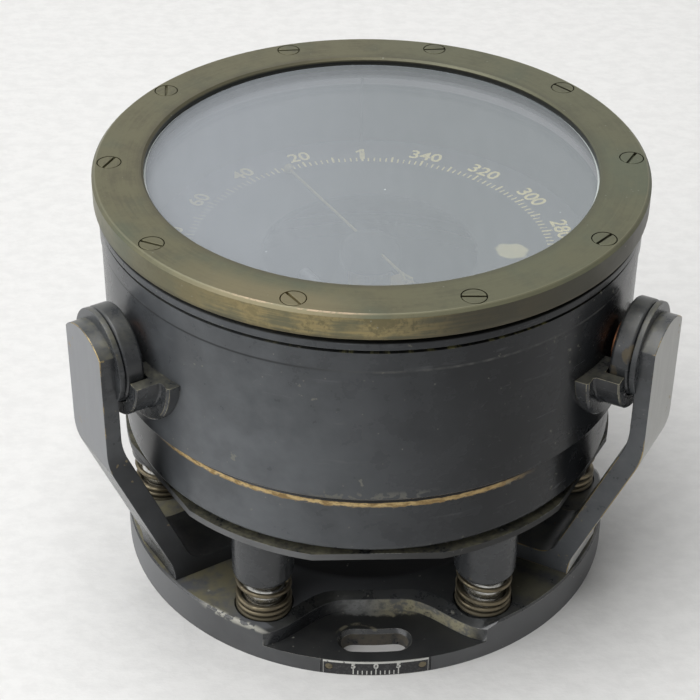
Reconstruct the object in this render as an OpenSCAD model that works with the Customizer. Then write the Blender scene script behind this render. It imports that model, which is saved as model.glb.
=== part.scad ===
// Aircraft compass: a liquid-filled bowl held up by six coil springs on a round base.
// Three arms rise from the base and each carries a disc. Half-round cradles on the bowl hug the discs
// from below, so the springs hold the bowl up against them and a shock pushes it down.
// A magnet needle turns on a pivot inside the bowl, over a fixed dial.
// Millimetres, +Z up. The origin is the centre of the base's underside and the front is -Y.
// Azimuths run from the front towards +X.

/* [Base] */
// How far the base stands out past the suspension plate
base_margin = 0.9; // [0.4:0.1:3]
// Height of the base's upper face
base_h = 11.2; // [9.5:0.1:14]
// Thickness of the base's floor, in its middle and in the bolt pockets
web_h = 5.2; // [4.4:0.1:6]
// Width of the raised ring round the base's well
ring_w = 27.9; // [26:0.1:34]
// Distance from the rim to the back wall of a bolt pocket
pocket_depth = 20.1; // [18.5:0.1:21]
// Distance from the rim at which a pocket's side walls run out
pocket_run_out = 6.9; // [6:0.1:8]
// Half the length of a pocket's straight back wall
pocket_flat = 8; // [6:0.1:10]
// Half the width of a pocket at its mouth
pocket_half = 32; // [29:0.1:33]
// Width of the bevel along the top of a pocket's wall
pocket_bevel = 2.4; // [1:0.1:3]
// Distance from the rim to the middle of a bolt slot
slot_inset = 8.3; // [8:0.1:9]
// Width of a bolt slot
slot_w = 7; // [5:0.1:7.6]
// Length of a bolt slot along its middle line
slot_len = 18.8; // [14:0.1:20]
// Width of the softened edge round a bolt slot
slot_edge = 1; // [0.4:0.1:1.2]

/* [Azimuth scale] */
// Half the angle that the scale plate spans
scale_half_angle = 12.2; // [10:0.1:14]
// Thickness of the scale plate
scale_t = 1.2; // [0.8:0.1:1.6]
// Height of the scale plate
scale_h = 4.8; // [3.6:0.1:5]
// Azimuth of each of the plate's two screws
scale_screw_az = 10.4; // [8:0.1:11]

/* [Arms] */
// Width of an arm
arm_w = 20.4; // [18:0.1:22]
// Thickness of an arm's upright part
arm_t = 4.5; // [3.8:0.1:5.5]
// Thickness of an arm's sloping part
arm_slope_t = 5.9; // [5:0.1:6.5]
// Height of the upper bend, on the outer face
arm_bend_z = 58.9; // [54:0.1:62]
// Radius of the arc that rounds an arm's top
arm_top_r = 14.25; // [12.5:0.05:18]
// Height of an arm's top above the disc's centre
arm_rise = 9.85; // [8.5:0.05:11]
// Distance from the rim to the outer face of an arm's foot
foot_inset = 1.4; // [0.8:0.1:2]
// Length of an arm's foot along the base
foot_len = 20; // [18:0.1:22]
// Thickness of an arm's foot
foot_t = 5.3; // [4.5:0.1:6.5]

/* [Discs and cradles] */
// Radius of a disc and of the boss behind it
disc_r = 13.1; // [12:0.1:14]
// Thickness of a disc
disc_t = 5.4; // [4.6:0.1:6.5]
// Gap between the bowl's wall and a disc
disc_gap = 3.1; // [2.9:0.1:4]
// Thickness of the boss on an arm
boss_t = 1.1; // [0.8:0.1:2]
// Height of a disc's centre above the bowl's lower edge
disc_rise = 24.4; // [22:0.1:27]
// Radius of the stud that holds a disc
stud_r = 4; // [3:0.1:4.6]
// Radius of a stud's head
stud_head_r = 6; // [5:0.1:6.5]
// Thickness of a stud's head
stud_head_t = 2.2; // [1.4:0.1:2.4]
// Radius of a cradle's flange
flange_r = 20.8; // [19:0.1:22]
// Thickness of a cradle's flange in its middle
flange_t = 0.8; // [0.6:0.1:1.2]
// Thickness of a cradle's shell
shell_t = 3.5; // [2.6:0.1:4.2]
// Length of a cradle's shell
shell_len = 6.9; // [5.5:0.1:7.5]
// Depth of a cradle's flat top below the disc's centre
cradle_drop = 1.6; // [0.8:0.1:2.4]

/* [Springs] */
// Height of the space between the base and the suspension plate
spring_gap = 28.3; // [27:0.1:31]
// Height of the clear space under a spring cup
cup_clear = 11.8; // [10.5:0.1:13]
// Thickness of a spring cup's end
cup_end = 2; // [1.4:0.1:2.6]
// How far a spring cup stands out past its spring
cup_rim = 0.6; // [0.6:0.1:0.9]
// Diameter of the spring wire
wire_d = 1.4; // [1.3:0.05:1.5]
// Turns of a spring
spring_turns = 4.25; // [4:0.25:4.5]
// Radius of a guide pin
guide_r = 5.8; // [5.2:0.1:6]
// Depth of a spring's seat in the base
seat_depth = 1.7; // [1:0.1:2]
// Distance from the edge of the suspension plate to a cup
cup_inset = 0.8; // [0.6:0.1:1.6]

/* [Suspension plate] */
// How far the suspension plate stands out past the lower bowl
plate_over = 0.5; // [0.2:0.1:1]
// Thickness of the suspension plate
plate_t = 2.1; // [1.6:0.1:3]
// Depth of each of the plate's six flats
flat_depth = 2.2; // [1.6:0.1:2.8]

/* [Bowl] */
// Outer radius of the bowl's wall
bowl_r = 73.5; // [73:0.1:75]
// Height of the bowl's case
bowl_h = 51.2; // [48:0.1:54]
// Thickness of the bowl's wall below the dial
bowl_wall = 9.5; // [9:0.1:10]
// Step between the bowl's wall and the lower bowl
lower_step = 3.5; // [3:0.1:4]
// Height of the lower bowl, above its neck
lower_h = 19.6; // [18:0.1:22]
// Height of the neck between the plate and the lower bowl
neck_h = 1.7; // [1.2:0.1:2.4]
// Step between the lower bowl and its neck
neck_step = 3.5; // [2.8:0.1:5]
// Radius of the rounding at the lower bowl's foot
lower_round = 2.2; // [1:0.1:2.8]
// Height of the raised band round the bowl's top
band_h = 10.1; // [8:0.1:12]
// How far the band stands out
band_out = 0.3; // [0.2:0.1:0.6]
// Height of the lip under the bezel
lip_h = 3.9; // [3:0.1:5]
// Thickness of the gasket between the case and the lower bowl
joint_gasket_t = 0.5; // [0.3:0.1:1]

/* [Bezel and glass] */
// How far the bezel stands out over the bowl's wall
bezel_over = 1.5; // [1.3:0.1:2]
// Height of the bezel
bezel_h = 7.2; // [6.6:0.1:8]
// Width of the bezel's lip over the glass
window_lip = 3.95; // [3.5:0.05:5]
// Height of the bezel's lip over the glass
bezel_lip = 2; // [1.4:0.1:2.4]
// Size of the bevel on the bezel's outer edge
bezel_bevel = 0.9; // [0.4:0.1:1.3]
// Distance from the bowl's wall to the edge of the glass
glass_inset = 8.3; // [7.9:0.1:8.6]
// Thickness of the glass
glass_t = 4; // [3.4:0.1:4.4]
// Distance from the bezel's edge to its screws
screw_inset = 4.6; // [4.5:0.1:5]
// Number of bezel screws
bezel_screw_count = 10; // [8:1:12]
// Radius of a bezel screw's head
bezel_head_r = 3.3; // [2.6:0.1:3.3]

/* [Dial] */
// Depth of the dial's face below the bezel's top
dial_depth = 28.3; // [27:0.1:32]
// Thickness of the dial
dial_t = 1.5; // [1:0.1:2.5]
// Inner radius of the dial
dial_in_r = 30; // [27:0.5:33]
// Thickness of the chamber's lining
lining_t = 3.5; // [2.4:0.1:4]

/* [Needle] */
// Azimuth of the pointer as the compass stands
pointer_az = 207.5; // [0:0.5:360]
// Radius of the pointer's tip
pointer_r = 48; // [40:0.5:50]
// Length of the pointer's tail
tail_r = 17.5; // [14:0.5:22]
// Diameter of the pointer's wire
pointer_d = 1.1; // [0.8:0.1:1.4]
// Height of the pointer over the dial
pointer_rise = 1.7; // [1.5:0.1:2.4]
// Radius of the float
float_r = 8.5; // [7.5:0.1:10]
// Length of a magnet
magnet_len = 40; // [30:1:44]
// Radius of a magnet
magnet_r = 2; // [1.6:0.1:2.4]
// Distance of each magnet from the pivot
magnet_offset = 10; // [8:0.5:12]

/* [Fits] */
// Clearance between pieces that are fitted together
fit = 0.05; // [0.02:0.01:0.08]
// Clearance between a guide pin and the bore of its spring cup
guide_gap = 0.3; // [0.2:0.05:0.4]
// Clearance between a guide pin and the inside of its spring
coil_gap = 0.7; // [0.6:0.05:0.9]
// Clearance between a cradle and its disc
cradle_gap = 0.3; // [0.2:0.05:0.4]

/* [Hidden] */
$fn = 96;

// Azimuths of the three arms, the six springs and the three bolt pockets
ARM_AZ = [-60, 60, 180];
SPRING_AZ = [for (i = [0:5]) 30 + 60 * i];
POCKET_AZ = [0, 120, 240];
// Slots of the bezel screws, turned as hands left them
SLOT_TURN = [70, 82, 60, 96, 110, 75, 128, 64, 118, 50, 90, 40];

// Heights, from the base up
plate_z = base_h + spring_gap;
neck_z = plate_z + plate_t;
lower_z = neck_z + neck_h;
joint_z = lower_z + lower_h + joint_gasket_t;
disc_z = joint_z + disc_rise;
arm_top_z = disc_z + arm_rise;
case_top_z = joint_z + bowl_h;
top_z = case_top_z + bezel_h;
dial_z = top_z - dial_depth;
pointer_z = dial_z + pointer_rise;

// Radii, from the bowl outwards
bezel_r = bowl_r + bezel_over;
lower_r = bowl_r - lower_step;
neck_r = lower_r - neck_step;
plate_r = lower_r + plate_over;
base_r = plate_r + base_margin;
well_r = base_r - ring_w;
chamber_r = bowl_r - bowl_wall;
glass_r = bowl_r - glass_inset;
window_r = glass_r - window_lip;
band_r = bowl_r + band_out;
lip_r = band_r + 0.4;
gap_line = 0.4;
gap_line_r = bowl_r - 1;
case_in_r = glass_r + 0.8;
lining_r = case_in_r - lining_t;
disc_in_x = bowl_r + disc_gap;
disc_out_x = disc_in_x + disc_t;
boss_gap = 0.2;
boss_x = disc_out_x + boss_gap;
arm_in_x = boss_x + boss_t;
arm_out_x = arm_in_x + arm_t;
spring_r = guide_r + coil_gap + wire_d / 2;
spring_out_r = spring_r + wire_d / 2;
cup_r = spring_out_r + cup_rim;
spring_ring_r = plate_r - cup_inset - cup_r;
screw_ring_r = bezel_r - screw_inset;

// Arm profile: the slope runs from the upper bend to a lower bend just over the foot
foot_out_x = base_r - foot_inset;
foot_in_x = foot_out_x - foot_len;
foot_z = base_h + foot_t;
low_bend_z = base_h + 3.9;
slope_dx = arm_out_x - foot_out_x;
slope_dz = arm_bend_z - low_bend_z;
slope_len = sqrt(slope_dx * slope_dx + slope_dz * slope_dz);
// Height at which the inner face starts to slope, and where that slope meets the foot
inner_bend_z = arm_bend_z + (arm_slope_t * slope_len - arm_t * slope_dz) / slope_dx;
inner_foot_x = arm_in_x - (inner_bend_z - foot_z) * slope_dx / slope_dz;

// Springs
seat_z = base_h - seat_depth;
cup_z = base_h + cup_clear;
cup_top_z = plate_z - cup_end;
cup_bore_r = guide_r + guide_gap;
spring_lift = 0.1;
CURL_RINGS = 8;
WIRE_SIDES = 6;
CLOSED_STEP = 1.35;
FOOT_TURNS = 2.5;
HEAD_TURNS = 0.5;

// Screws
arm_screw_r = 2;
arm_head_r = 3.8;
arm_head_h = 2.4;
arm_screw_x = [foot_in_x + 5, foot_out_x - 5];
plate_screw_r = 2;
plate_head_r = 3.6;
plate_head_h = 1.8;
plate_screw_depth = 7;
rivet_r = 3;
bezel_screw_r = 1.6;
bezel_head_h = 1.8;
bezel_screw_h = 9;
scale_screw_r = 0.7;
scale_head_r = 1.1;
stud_depth = 3;

// Cradles
shell_r = disc_r + cradle_gap + shell_t;
flange_x = bowl_r + flange_t;
shell_end_x = flange_x + shell_len;
cradle_top_z = disc_z - cradle_drop;
web_gap = 0.6;
relief_r = stud_head_r + 0.6;
pin_r = 2;
pin_depth = 5;
pin_y = shell_r * 0.55;
pin_z = disc_z - shell_r * 0.62;

// Lower bowl and its diaphragm
cavity_r = chamber_r - 6;
plate_screw_ring = (cavity_r + neck_r) / 2;
ledge_r = cavity_r - 4;
floor_z = joint_z - joint_gasket_t;
roof_t = 5;
spigot_h = 4;
diaphragm_z = neck_z + 8;
diaphragm_t = 0.8;
ripple_h = 0.9;
clamp_h = 4;
port_r = 2.5;
port_x = 30;

// Filler plug, at the back of the case
filler_az = 148;
filler_z = joint_z + 15;
filler_r = 4;
filler_head_r = 6;
filler_head_t = 1.8;
filler_washer_t = 0.8;

// Needle
float_h = 8;
float_z = pointer_z - 5;
post_r = 3;
post_foot_r = 8;
post_foot_h = 2;
post_z = float_z - 3;
tip_r = 1.2;
tip_point_r = 0.2;
tip_z = float_z + 2.2;
jewel_r = 2.2;
jewel_t = 1;
jewel_skirt = 1.2;
sleeve_r = 6;
sleeve_bore_r = post_r + 1.4;
sleeve_h = 10;
carrier_h = 2 * magnet_r + 2;
carrier_z = float_z - sleeve_h - carrier_h;
bead_r = 1.5;
barb_len = 4.5;
barb_angle = 35;
lubber_d = 0.8;

// Helpers

// Turns a piece drawn along +X out to an azimuth
module radial(az) {
    rotate([0, 0, az - 90]) children();
}

// A round bar along X
module bar_x(r, x0, x1, z) {
    translate([x0, 0, z]) rotate([0, 90, 0]) cylinder(r = r, h = x1 - x0);
}

module ring(r_out, r_in, z0, z1) {
    rotate_extrude() translate([r_in, z0]) square([r_out - r_in, z1 - z0]);
}

// Points of a corner rounded by an arc; each corner is [x, y, radius]
function corner_arc(a, b, c, steps = 8) =
    let (u = [a.x - b.x, a.y - b.y] / norm([a.x - b.x, a.y - b.y]),
         v = [c.x - b.x, c.y - b.y] / norm([c.x - b.x, c.y - b.y]),
         half = acos(u * v) / 2,
         mid = (u + v) / norm(u + v),
         centre = [b.x, b.y] + mid * b[2] / sin(half),
         turn = sign(u.x * v.y - u.y * v.x),
         start = atan2(-mid.y, -mid.x) + turn * (90 - half))
    [for (i = [0:steps]) centre + b[2] * [cos(start - turn * (180 - 2 * half) * i / steps),
                                         sin(start - turn * (180 - 2 * half) * i / steps)]];

function rounded(path) =
    let (n = len(path))
    [for (i = [0:n - 1]) each path[i][2] > 0
        ? corner_arc(path[(i + n - 1) % n], path[i], path[(i + 1) % n])
        : [[path[i].x, path[i].y]]];

// Base

// Bell-shaped wall of a bolt pocket; grow moves it back into the base
function bell(grow, steps = 24) =
    let (back = base_r - pocket_depth - grow, mouth = base_r - pocket_run_out - grow,
         half = pocket_half + grow, beyond = base_r + 4)
    concat([[-half, -beyond]],
           [for (i = [0:steps])
               let (x = -half + 2 * half * i / steps,
                    run = max(0, (abs(x) - pocket_flat - grow) / (half - pocket_flat - grow)))
               [x, -back - (mouth - back) * (1 - cos(180 * run)) / 2]],
           [[half, -beyond]]);

module pocket_cut() {
    bevel_h = pocket_bevel * 0.65;
    over = 0.4;
    low = bell(0);
    high = bell(pocket_bevel * (1 + over / bevel_h));
    n = len(low);
    low_z = base_h - bevel_h;
    translate([0, 0, web_h]) linear_extrude(base_h - web_h + 1) polygon(low);
    polyhedron(
        points = concat([for (p = low) [p.x, p.y, low_z]], [for (p = high) [p.x, p.y, base_h + over]]),
        faces = concat([[for (i = [n - 1:-1:0]) i]], [[for (i = [0:n - 1]) n + i]],
                       [for (i = [0:n - 1]) [i, (i + 1) % n, n + i]],
                       [for (i = [0:n - 1]) [n + i, (i + 1) % n, n + (i + 1) % n]]));
}

// Slot along an arc about the base's centre, with a softened upper edge
module slot_cut() {
    mid_r = base_r - slot_inset;
    half_w = slot_w / 2;
    sweep = 360 * (slot_len - slot_w) / (2 * PI * mid_r);
    deep = 1;
    profile = [[-half_w, -deep], [half_w, -deep], [half_w, web_h - slot_edge],
               [half_w + slot_edge + deep, web_h + deep], [-half_w - slot_edge - deep, web_h + deep],
               [-half_w, web_h - slot_edge]];
    rotate([0, 0, -90 - sweep / 2]) rotate_extrude(angle = sweep)
        polygon([for (p = profile) [mid_r + p.x, p.y]]);
    for (end = [-1, 1]) radial(end * sweep / 2) translate([mid_r, 0, 0]) rotate_extrude()
        polygon([[0, -deep], [half_w, -deep], [half_w, web_h - slot_edge],
                 [half_w + slot_edge + deep, web_h + deep], [0, web_h + deep]]);
}

// Curved strip in the front of the rim
module rim_strip(r_in, r_out, half_angle, z0, z1) {
    rotate([0, 0, -90 - half_angle]) rotate_extrude(angle = 2 * half_angle)
        translate([r_in, z0]) square([r_out - r_in, z1 - z0]);
}

scale_z = (web_h - scale_h) / 2;

module scale_screw(grow, head_grow) {
    head_x = base_r - 0.5;
    bar_x(scale_screw_r + grow, base_r - scale_t - 2, head_x, scale_z + scale_h / 2);
    bar_x(scale_head_r + grow, head_x, base_r + head_grow, scale_z + scale_h / 2);
}

module arm_screw(grow, under) {
    translate([0, 0, -under]) cylinder(r = arm_head_r + grow, h = arm_head_h + under + grow);
    cylinder(r = arm_screw_r + grow, h = foot_z - 1.4 + grow);
}

module base_casting() {
    edge = 0.5;
    color("#34383c") difference() {
        rotate_extrude() polygon([[0, 0], [base_r, 0], [base_r, base_h - edge], [base_r - edge, base_h],
                                  [well_r, base_h], [well_r, web_h], [0, web_h]]);
        for (az = POCKET_AZ) rotate([0, 0, az]) {
            pocket_cut();
            slot_cut();
        }
        for (az = SPRING_AZ) radial(az) translate([spring_ring_r, 0, 0]) {
            translate([0, 0, seat_z]) cylinder(r = spring_out_r + 0.4, h = base_h);
            translate([0, 0, web_h]) cylinder(r = guide_r + fit, h = base_h);
        }
        for (az = ARM_AZ, x = arm_screw_x) radial(az) translate([x, 0, 0]) arm_screw(fit, 1);
        rim_strip(base_r - scale_t - fit, base_r + 1, scale_half_angle + 0.1, scale_z - fit,
                  scale_z + scale_h + fit);
        for (side = [-1, 1]) radial(side * scale_screw_az) scale_screw(fit, 1);
    }
}

module scale_plate() {
    color("#1b1d20") difference() {
        rim_strip(base_r - scale_t, base_r, scale_half_angle, scale_z, scale_z + scale_h);
        for (side = [-1, 1]) radial(side * scale_screw_az) scale_screw(fit, 1);
    }
}

module scale_plate_screws() {
    color("#8a7a55") for (side = [-1, 1]) radial(side * scale_screw_az) scale_screw(0, -0.15);
}

// Arms, discs and cradles

module arm_profile() {
    polygon(rounded([[arm_in_x, arm_top_z + 1, 0], [arm_in_x, inner_bend_z, 20],
                     [inner_foot_x, foot_z, 6], [foot_in_x, foot_z, 2], [foot_in_x, base_h, 0],
                     [foot_out_x, base_h, 0], [foot_out_x, low_bend_z, 18],
                     [arm_out_x, arm_bend_z, 24], [arm_out_x, arm_top_z + 1, 0]]));
}

module arm(az) {
    far = arm_out_x + 5;
    color("#3d4248") radial(az) difference() {
        union() {
            intersection() {
                translate([0, arm_w / 2, 0]) rotate([90, 0, 0]) linear_extrude(arm_w) arm_profile();
                union() {
                    translate([0, -arm_w, 0]) cube([far, 2 * arm_w, arm_top_z - arm_top_r]);
                    bar_x(arm_top_r, 0, far, arm_top_z - arm_top_r);
                }
            }
            bar_x(disc_r, boss_x, arm_in_x + 0.5, disc_z);
        }
        bar_x(stud_r + fit, boss_x - 1, boss_x + stud_depth + fit, disc_z);
        for (x = arm_screw_x) translate([x, 0, 0]) cylinder(r = arm_screw_r + fit, h = foot_z - 1.3);
    }
}

module arm_left() {
    arm(ARM_AZ[0]);
}

module arm_right() {
    arm(ARM_AZ[1]);
}

module arm_rear() {
    arm(ARM_AZ[2]);
}

module arm_screws() {
    sunk = 0.6;
    color("#6b6455") for (az = ARM_AZ, x = arm_screw_x) radial(az) translate([x, 0, sunk]) difference() {
        union() {
            cylinder(r = arm_head_r, h = arm_head_h - sunk);
            cylinder(r = arm_screw_r, h = foot_z - 2.4);
        }
        translate([-2 * arm_head_r, -0.5, -1]) cube([4 * arm_head_r, 1, 2]);
    }
}

module disc(az) {
    edge = 0.6;
    bore_r = stud_r + fit;
    color("#4a5056") radial(az) translate([disc_in_x, 0, disc_z]) rotate([0, 90, 0]) rotate_extrude()
        polygon([[bore_r, 0], [disc_r - edge, 0], [disc_r, edge], [disc_r, disc_t - edge],
                 [disc_r - edge, disc_t], [bore_r, disc_t]]);
}

module disc_left() {
    disc(ARM_AZ[0]);
}

module disc_right() {
    disc(ARM_AZ[1]);
}

module disc_rear() {
    disc(ARM_AZ[2]);
}

module disc_studs() {
    color("#b5714a") for (az = ARM_AZ) radial(az) {
        bar_x(stud_r, disc_in_x - stud_head_t / 2, boss_x + stud_depth, disc_z);
        bar_x(stud_head_r, disc_in_x - stud_head_t, disc_in_x, disc_z);
    }
}

// Half-round shell on a flange, open at the top; two pins hold it in the bowl's wall
module cradle(az) {
    soft = 0.6;
    color("#3a3f45") radial(az) {
        difference() {
            translate([0, 0, disc_z]) rotate([0, 90, 0]) rotate_extrude()
                polygon([[0, chamber_r], [flange_r, chamber_r], [flange_r, flange_x - soft],
                         [flange_r - soft, flange_x], [shell_r + soft, flange_x],
                         [shell_r, flange_x + soft], [shell_r, shell_end_x - soft / 2],
                         [shell_r - soft / 2, shell_end_x], [0, shell_end_x]]);
            bar_x(disc_r + cradle_gap, disc_in_x - web_gap, shell_end_x + 1, disc_z);
            bar_x(relief_r, chamber_r, shell_end_x, disc_z);
            translate([0, -2 * flange_r, cradle_top_z]) cube([2 * shell_end_x, 4 * flange_r, 2 * flange_r]);
            cylinder(r = bowl_r, h = 2 * disc_z, $fn = 240);
        }
        for (side = [-1, 1]) translate([0, side * pin_y, 0])
            bar_x(pin_r, bowl_r - pin_depth, bowl_r + 0.3, pin_z);
    }
}

module cradle_left() {
    cradle(ARM_AZ[0]);
}

module cradle_right() {
    cradle(ARM_AZ[1]);
}

module cradle_rear() {
    cradle(ARM_AZ[2]);
}

// Springs

// Height along a spring: closed turns at both ends and an open pitch between them
function climb(turn, turns, length) =
    let (step = wire_d * CLOSED_STEP,
         open = (length - step * (FOOT_TURNS + HEAD_TURNS)) / (turns - FOOT_TURNS - HEAD_TURNS))
    turn < FOOT_TURNS ? step * turn
    : turn > turns - HEAD_TURNS ? length - step * (turns - turn)
    : step * FOOT_TURNS + open * (turn - FOOT_TURNS);

function spring_line(z0, z1, turns) =
    [for (i = [0:turns * CURL_RINGS])
        let (a = 180 - 360 * i / CURL_RINGS)
        [spring_r * cos(a), spring_r * sin(a), z0 + climb(i / CURL_RINGS, turns, z1 - z0)]];

// Least gap between turns: neighbours on the same turn are left out
function least_gap(line) =
    min([for (i = [0:len(line) - 1], j = [i + CURL_RINGS / 2:1:len(line) - 1])
        norm(line[i] - line[j])]) - wire_d;

module wire_tube(line) {
    n = len(line);
    ring_points = [for (i = [0:n - 1])
        let (ahead = line[min(i + 1, n - 1)], behind = line[max(i - 1, 0)],
             along = (ahead - behind) / norm(ahead - behind),
             out = [line[i].x, line[i].y, 0] / spring_r,
             flat = out - along * (out * along),
             side = flat / norm(flat),
             up = cross(along, side))
        for (k = [0:WIRE_SIDES - 1])
            line[i] + wire_d / 2 * (side * cos(360 * k / WIRE_SIDES) + up * sin(360 * k / WIRE_SIDES))];
    wall = [for (i = [0:n - 2], k = [0:WIRE_SIDES - 1])
        let (a = i * WIRE_SIDES + k, b = i * WIRE_SIDES + (k + 1) % WIRE_SIDES)
        each [[a, b, b + WIRE_SIDES], [a, b + WIRE_SIDES, a + WIRE_SIDES]]];
    first_cap = [for (k = [1:WIRE_SIDES - 2]) [0, k + 1, k]];
    last = (n - 1) * WIRE_SIDES;
    last_cap = [for (k = [1:WIRE_SIDES - 2]) [last, last + k, last + k + 1]];
    polyhedron(points = ring_points, faces = concat(wall, first_cap, last_cap));
}

spring_path = spring_line(seat_z + wire_d / 2 + spring_lift, cup_z - wire_d / 2 - spring_lift,
                          spring_turns);
echo(least_spring_gap = least_gap(spring_path));

module spring(az) {
    color("#8d8a80") radial(az) translate([spring_ring_r, 0, 0]) wire_tube(spring_path);
}

module spring_1() {
    spring(SPRING_AZ[0]);
}

module spring_2() {
    spring(SPRING_AZ[1]);
}

module spring_3() {
    spring(SPRING_AZ[2]);
}

module spring_4() {
    spring(SPRING_AZ[3]);
}

module spring_5() {
    spring(SPRING_AZ[4]);
}

module spring_6() {
    spring(SPRING_AZ[5]);
}

module spring_guides() {
    tip = 1.2;
    guide_top_z = cup_z + 6;
    color("#b4b4ae") for (az = SPRING_AZ) radial(az) translate([spring_ring_r, 0, 0]) rotate_extrude()
        polygon([[0, web_h], [guide_r, web_h], [guide_r, guide_top_z - tip], [guide_r - tip, guide_top_z],
                 [0, guide_top_z]]);
}

module spring_cup(az) {
    edge = 1.4;
    color("#3a3f44") radial(az) translate([spring_ring_r, 0, 0]) rotate_extrude()
        polygon([[cup_bore_r, cup_z], [cup_r - edge / 3, cup_z], [cup_r, cup_z + edge], [cup_r, plate_z],
                 [rivet_r, plate_z], [rivet_r, neck_z - fit], [0, neck_z - fit], [0, cup_top_z],
                 [cup_bore_r, cup_top_z]]);
}

module spring_cup_1() {
    spring_cup(SPRING_AZ[0]);
}

module spring_cup_2() {
    spring_cup(SPRING_AZ[1]);
}

module spring_cup_3() {
    spring_cup(SPRING_AZ[2]);
}

module spring_cup_4() {
    spring_cup(SPRING_AZ[3]);
}

module spring_cup_5() {
    spring_cup(SPRING_AZ[4]);
}

module spring_cup_6() {
    spring_cup(SPRING_AZ[5]);
}

// Bowl

module bowl_case() {
    edge = 0.8;
    band_z = case_top_z - band_h;
    lip_z = case_top_z - lip_h;
    ledge_z = dial_z - dial_t;
    color("#3b4046") difference() {
        rotate_extrude($fn = 240)
            polygon([[chamber_r, joint_z], [bowl_r - edge, joint_z], [bowl_r, joint_z + edge],
                     [bowl_r, band_z], [band_r, band_z + band_out], [band_r, lip_z], [lip_r, lip_z + 0.3],
                     [lip_r, case_top_z - gap_line], [gap_line_r, case_top_z - gap_line],
                     [gap_line_r, case_top_z], [case_in_r, case_top_z], [case_in_r, ledge_z],
                     [chamber_r, ledge_z]]);
        for (i = [0:bezel_screw_count - 1]) radial(bezel_screw_az(i))
            translate([screw_ring_r, 0, top_z - bezel_screw_h - fit])
                cylinder(r = bezel_screw_r + fit, h = 2 * bezel_screw_h);
        for (az = ARM_AZ, side = [-1, 1]) radial(az) translate([0, side * pin_y, 0])
            bar_x(pin_r + fit, bowl_r - pin_depth - fit, bowl_r + 2, pin_z);
        radial(filler_az) bar_x(filler_r + fit, chamber_r - 2, bowl_r + 2, filler_z);
        radial(filler_az) bar_x(filler_head_r + 1, filler_seat_x, bowl_r + 2, filler_z);
    }
}

module lower_bowl() {
    round_n = 6;
    foot = [for (i = [0:round_n])
        [lower_r - lower_round + lower_round * sin(90 * i / round_n),
         lower_z + lower_round - lower_round * cos(90 * i / round_n)]];
    color("#3a3d3e") difference() {
        rotate_extrude($fn = 240)
            polygon(concat([[cavity_r, neck_z], [neck_r, neck_z], [neck_r, lower_z]], foot,
                           [[lower_r, floor_z], [chamber_r - fit, floor_z],
                            [chamber_r - fit, joint_z + spigot_h], [cavity_r, joint_z + spigot_h],
                            [cavity_r, floor_z], [0, floor_z], [0, floor_z - roof_t],
                            [ledge_r, floor_z - roof_t], [ledge_r, diaphragm_z], [cavity_r, diaphragm_z]]));
        for (az = SPRING_AZ) radial(az + 30) translate([plate_screw_ring, 0, neck_z - 1])
            cylinder(r = plate_screw_r + fit, h = plate_screw_depth + 1 + fit);
        translate([0, 0, floor_z - 3 - fit]) cylinder(r = post_r + fit, h = 6);
        translate([port_x, 0, floor_z - roof_t - 1]) cylinder(r = port_r, h = roof_t + 2);
    }
}

module joint_gasket() {
    color("#16171a") ring(lower_r - 0.4, chamber_r + fit, floor_z, joint_z);
}

module suspension_plate() {
    vent_r = 1.5;
    color("#3a3f44") difference() {
        intersection() {
            translate([0, 0, plate_z]) cylinder(r = plate_r, h = plate_t);
            cylinder(r = (plate_r - flat_depth) / cos(30), h = plate_z + 10, $fn = 6);
        }
        cylinder(r = vent_r, h = plate_z + 10);
        for (az = SPRING_AZ) {
            radial(az) translate([spring_ring_r, 0, 0]) cylinder(r = rivet_r + fit, h = plate_z + 10);
            radial(az + 30) translate([plate_screw_ring, 0, 0])
                cylinder(r = plate_screw_r + fit, h = plate_z + 10);
        }
    }
}

module plate_screws() {
    color("#6b6455") for (az = SPRING_AZ) radial(az + 30)
        translate([plate_screw_ring, 0, plate_z - plate_head_h]) difference() {
            union() {
                cylinder(r = plate_head_r, h = plate_head_h);
                cylinder(r = plate_screw_r, h = plate_head_h + plate_t + plate_screw_depth);
            }
            translate([-2 * plate_head_r, -0.5, -1]) cube([4 * plate_head_r, 1, 2]);
        }
}

module expansion_diaphragm() {
    steps = 24;
    ripples = 3;
    rim_in = ledge_r - 4;
    hub_r = 10;
    wave = [for (i = [0:steps])
        [hub_r + (rim_in - hub_r) * i / steps,
         diaphragm_z - ripple_h * (1 - cos(360 * ripples * i / steps)) / 2]];
    lower = [for (i = [steps:-1:0]) [wave[i].x, wave[i].y - diaphragm_t]];
    color("#a58d58") rotate_extrude()
        polygon(concat([[0, diaphragm_z]], wave,
                       [[cavity_r - fit, diaphragm_z], [cavity_r - fit, diaphragm_z - diaphragm_t]],
                       lower, [[0, diaphragm_z - diaphragm_t]]));
}

module diaphragm_clamp() {
    clamp_z = diaphragm_z - diaphragm_t;
    color("#8c7a4c") ring(cavity_r - fit, ledge_r, clamp_z - clamp_h, clamp_z);
}

// The plug's head sits on a washer in a spot-faced recess
filler_seat_x = sqrt(bowl_r * bowl_r - pow(filler_head_r + 1, 2)) - 0.2;

module filler_plug() {
    head_x = filler_seat_x + filler_washer_t;
    color("#6f6a58") radial(filler_az) difference() {
        union() {
            bar_x(filler_r, chamber_r + 1, head_x + 0.5, filler_z);
            bar_x(filler_head_r, head_x, head_x + filler_head_t, filler_z);
        }
        translate([head_x + filler_head_t - 1, -0.6, filler_z - 2 * filler_head_r])
            cube([2, 1.2, 4 * filler_head_r]);
    }
}

module filler_washer() {
    color("#20211f") radial(filler_az) translate([filler_seat_x, 0, filler_z]) rotate([0, 90, 0])
        ring(filler_head_r, filler_r + fit, 0, filler_washer_t);
}

// Bezel and glass

function bezel_screw_az(i) = 180 / bezel_screw_count + 360 * i / bezel_screw_count;

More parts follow.
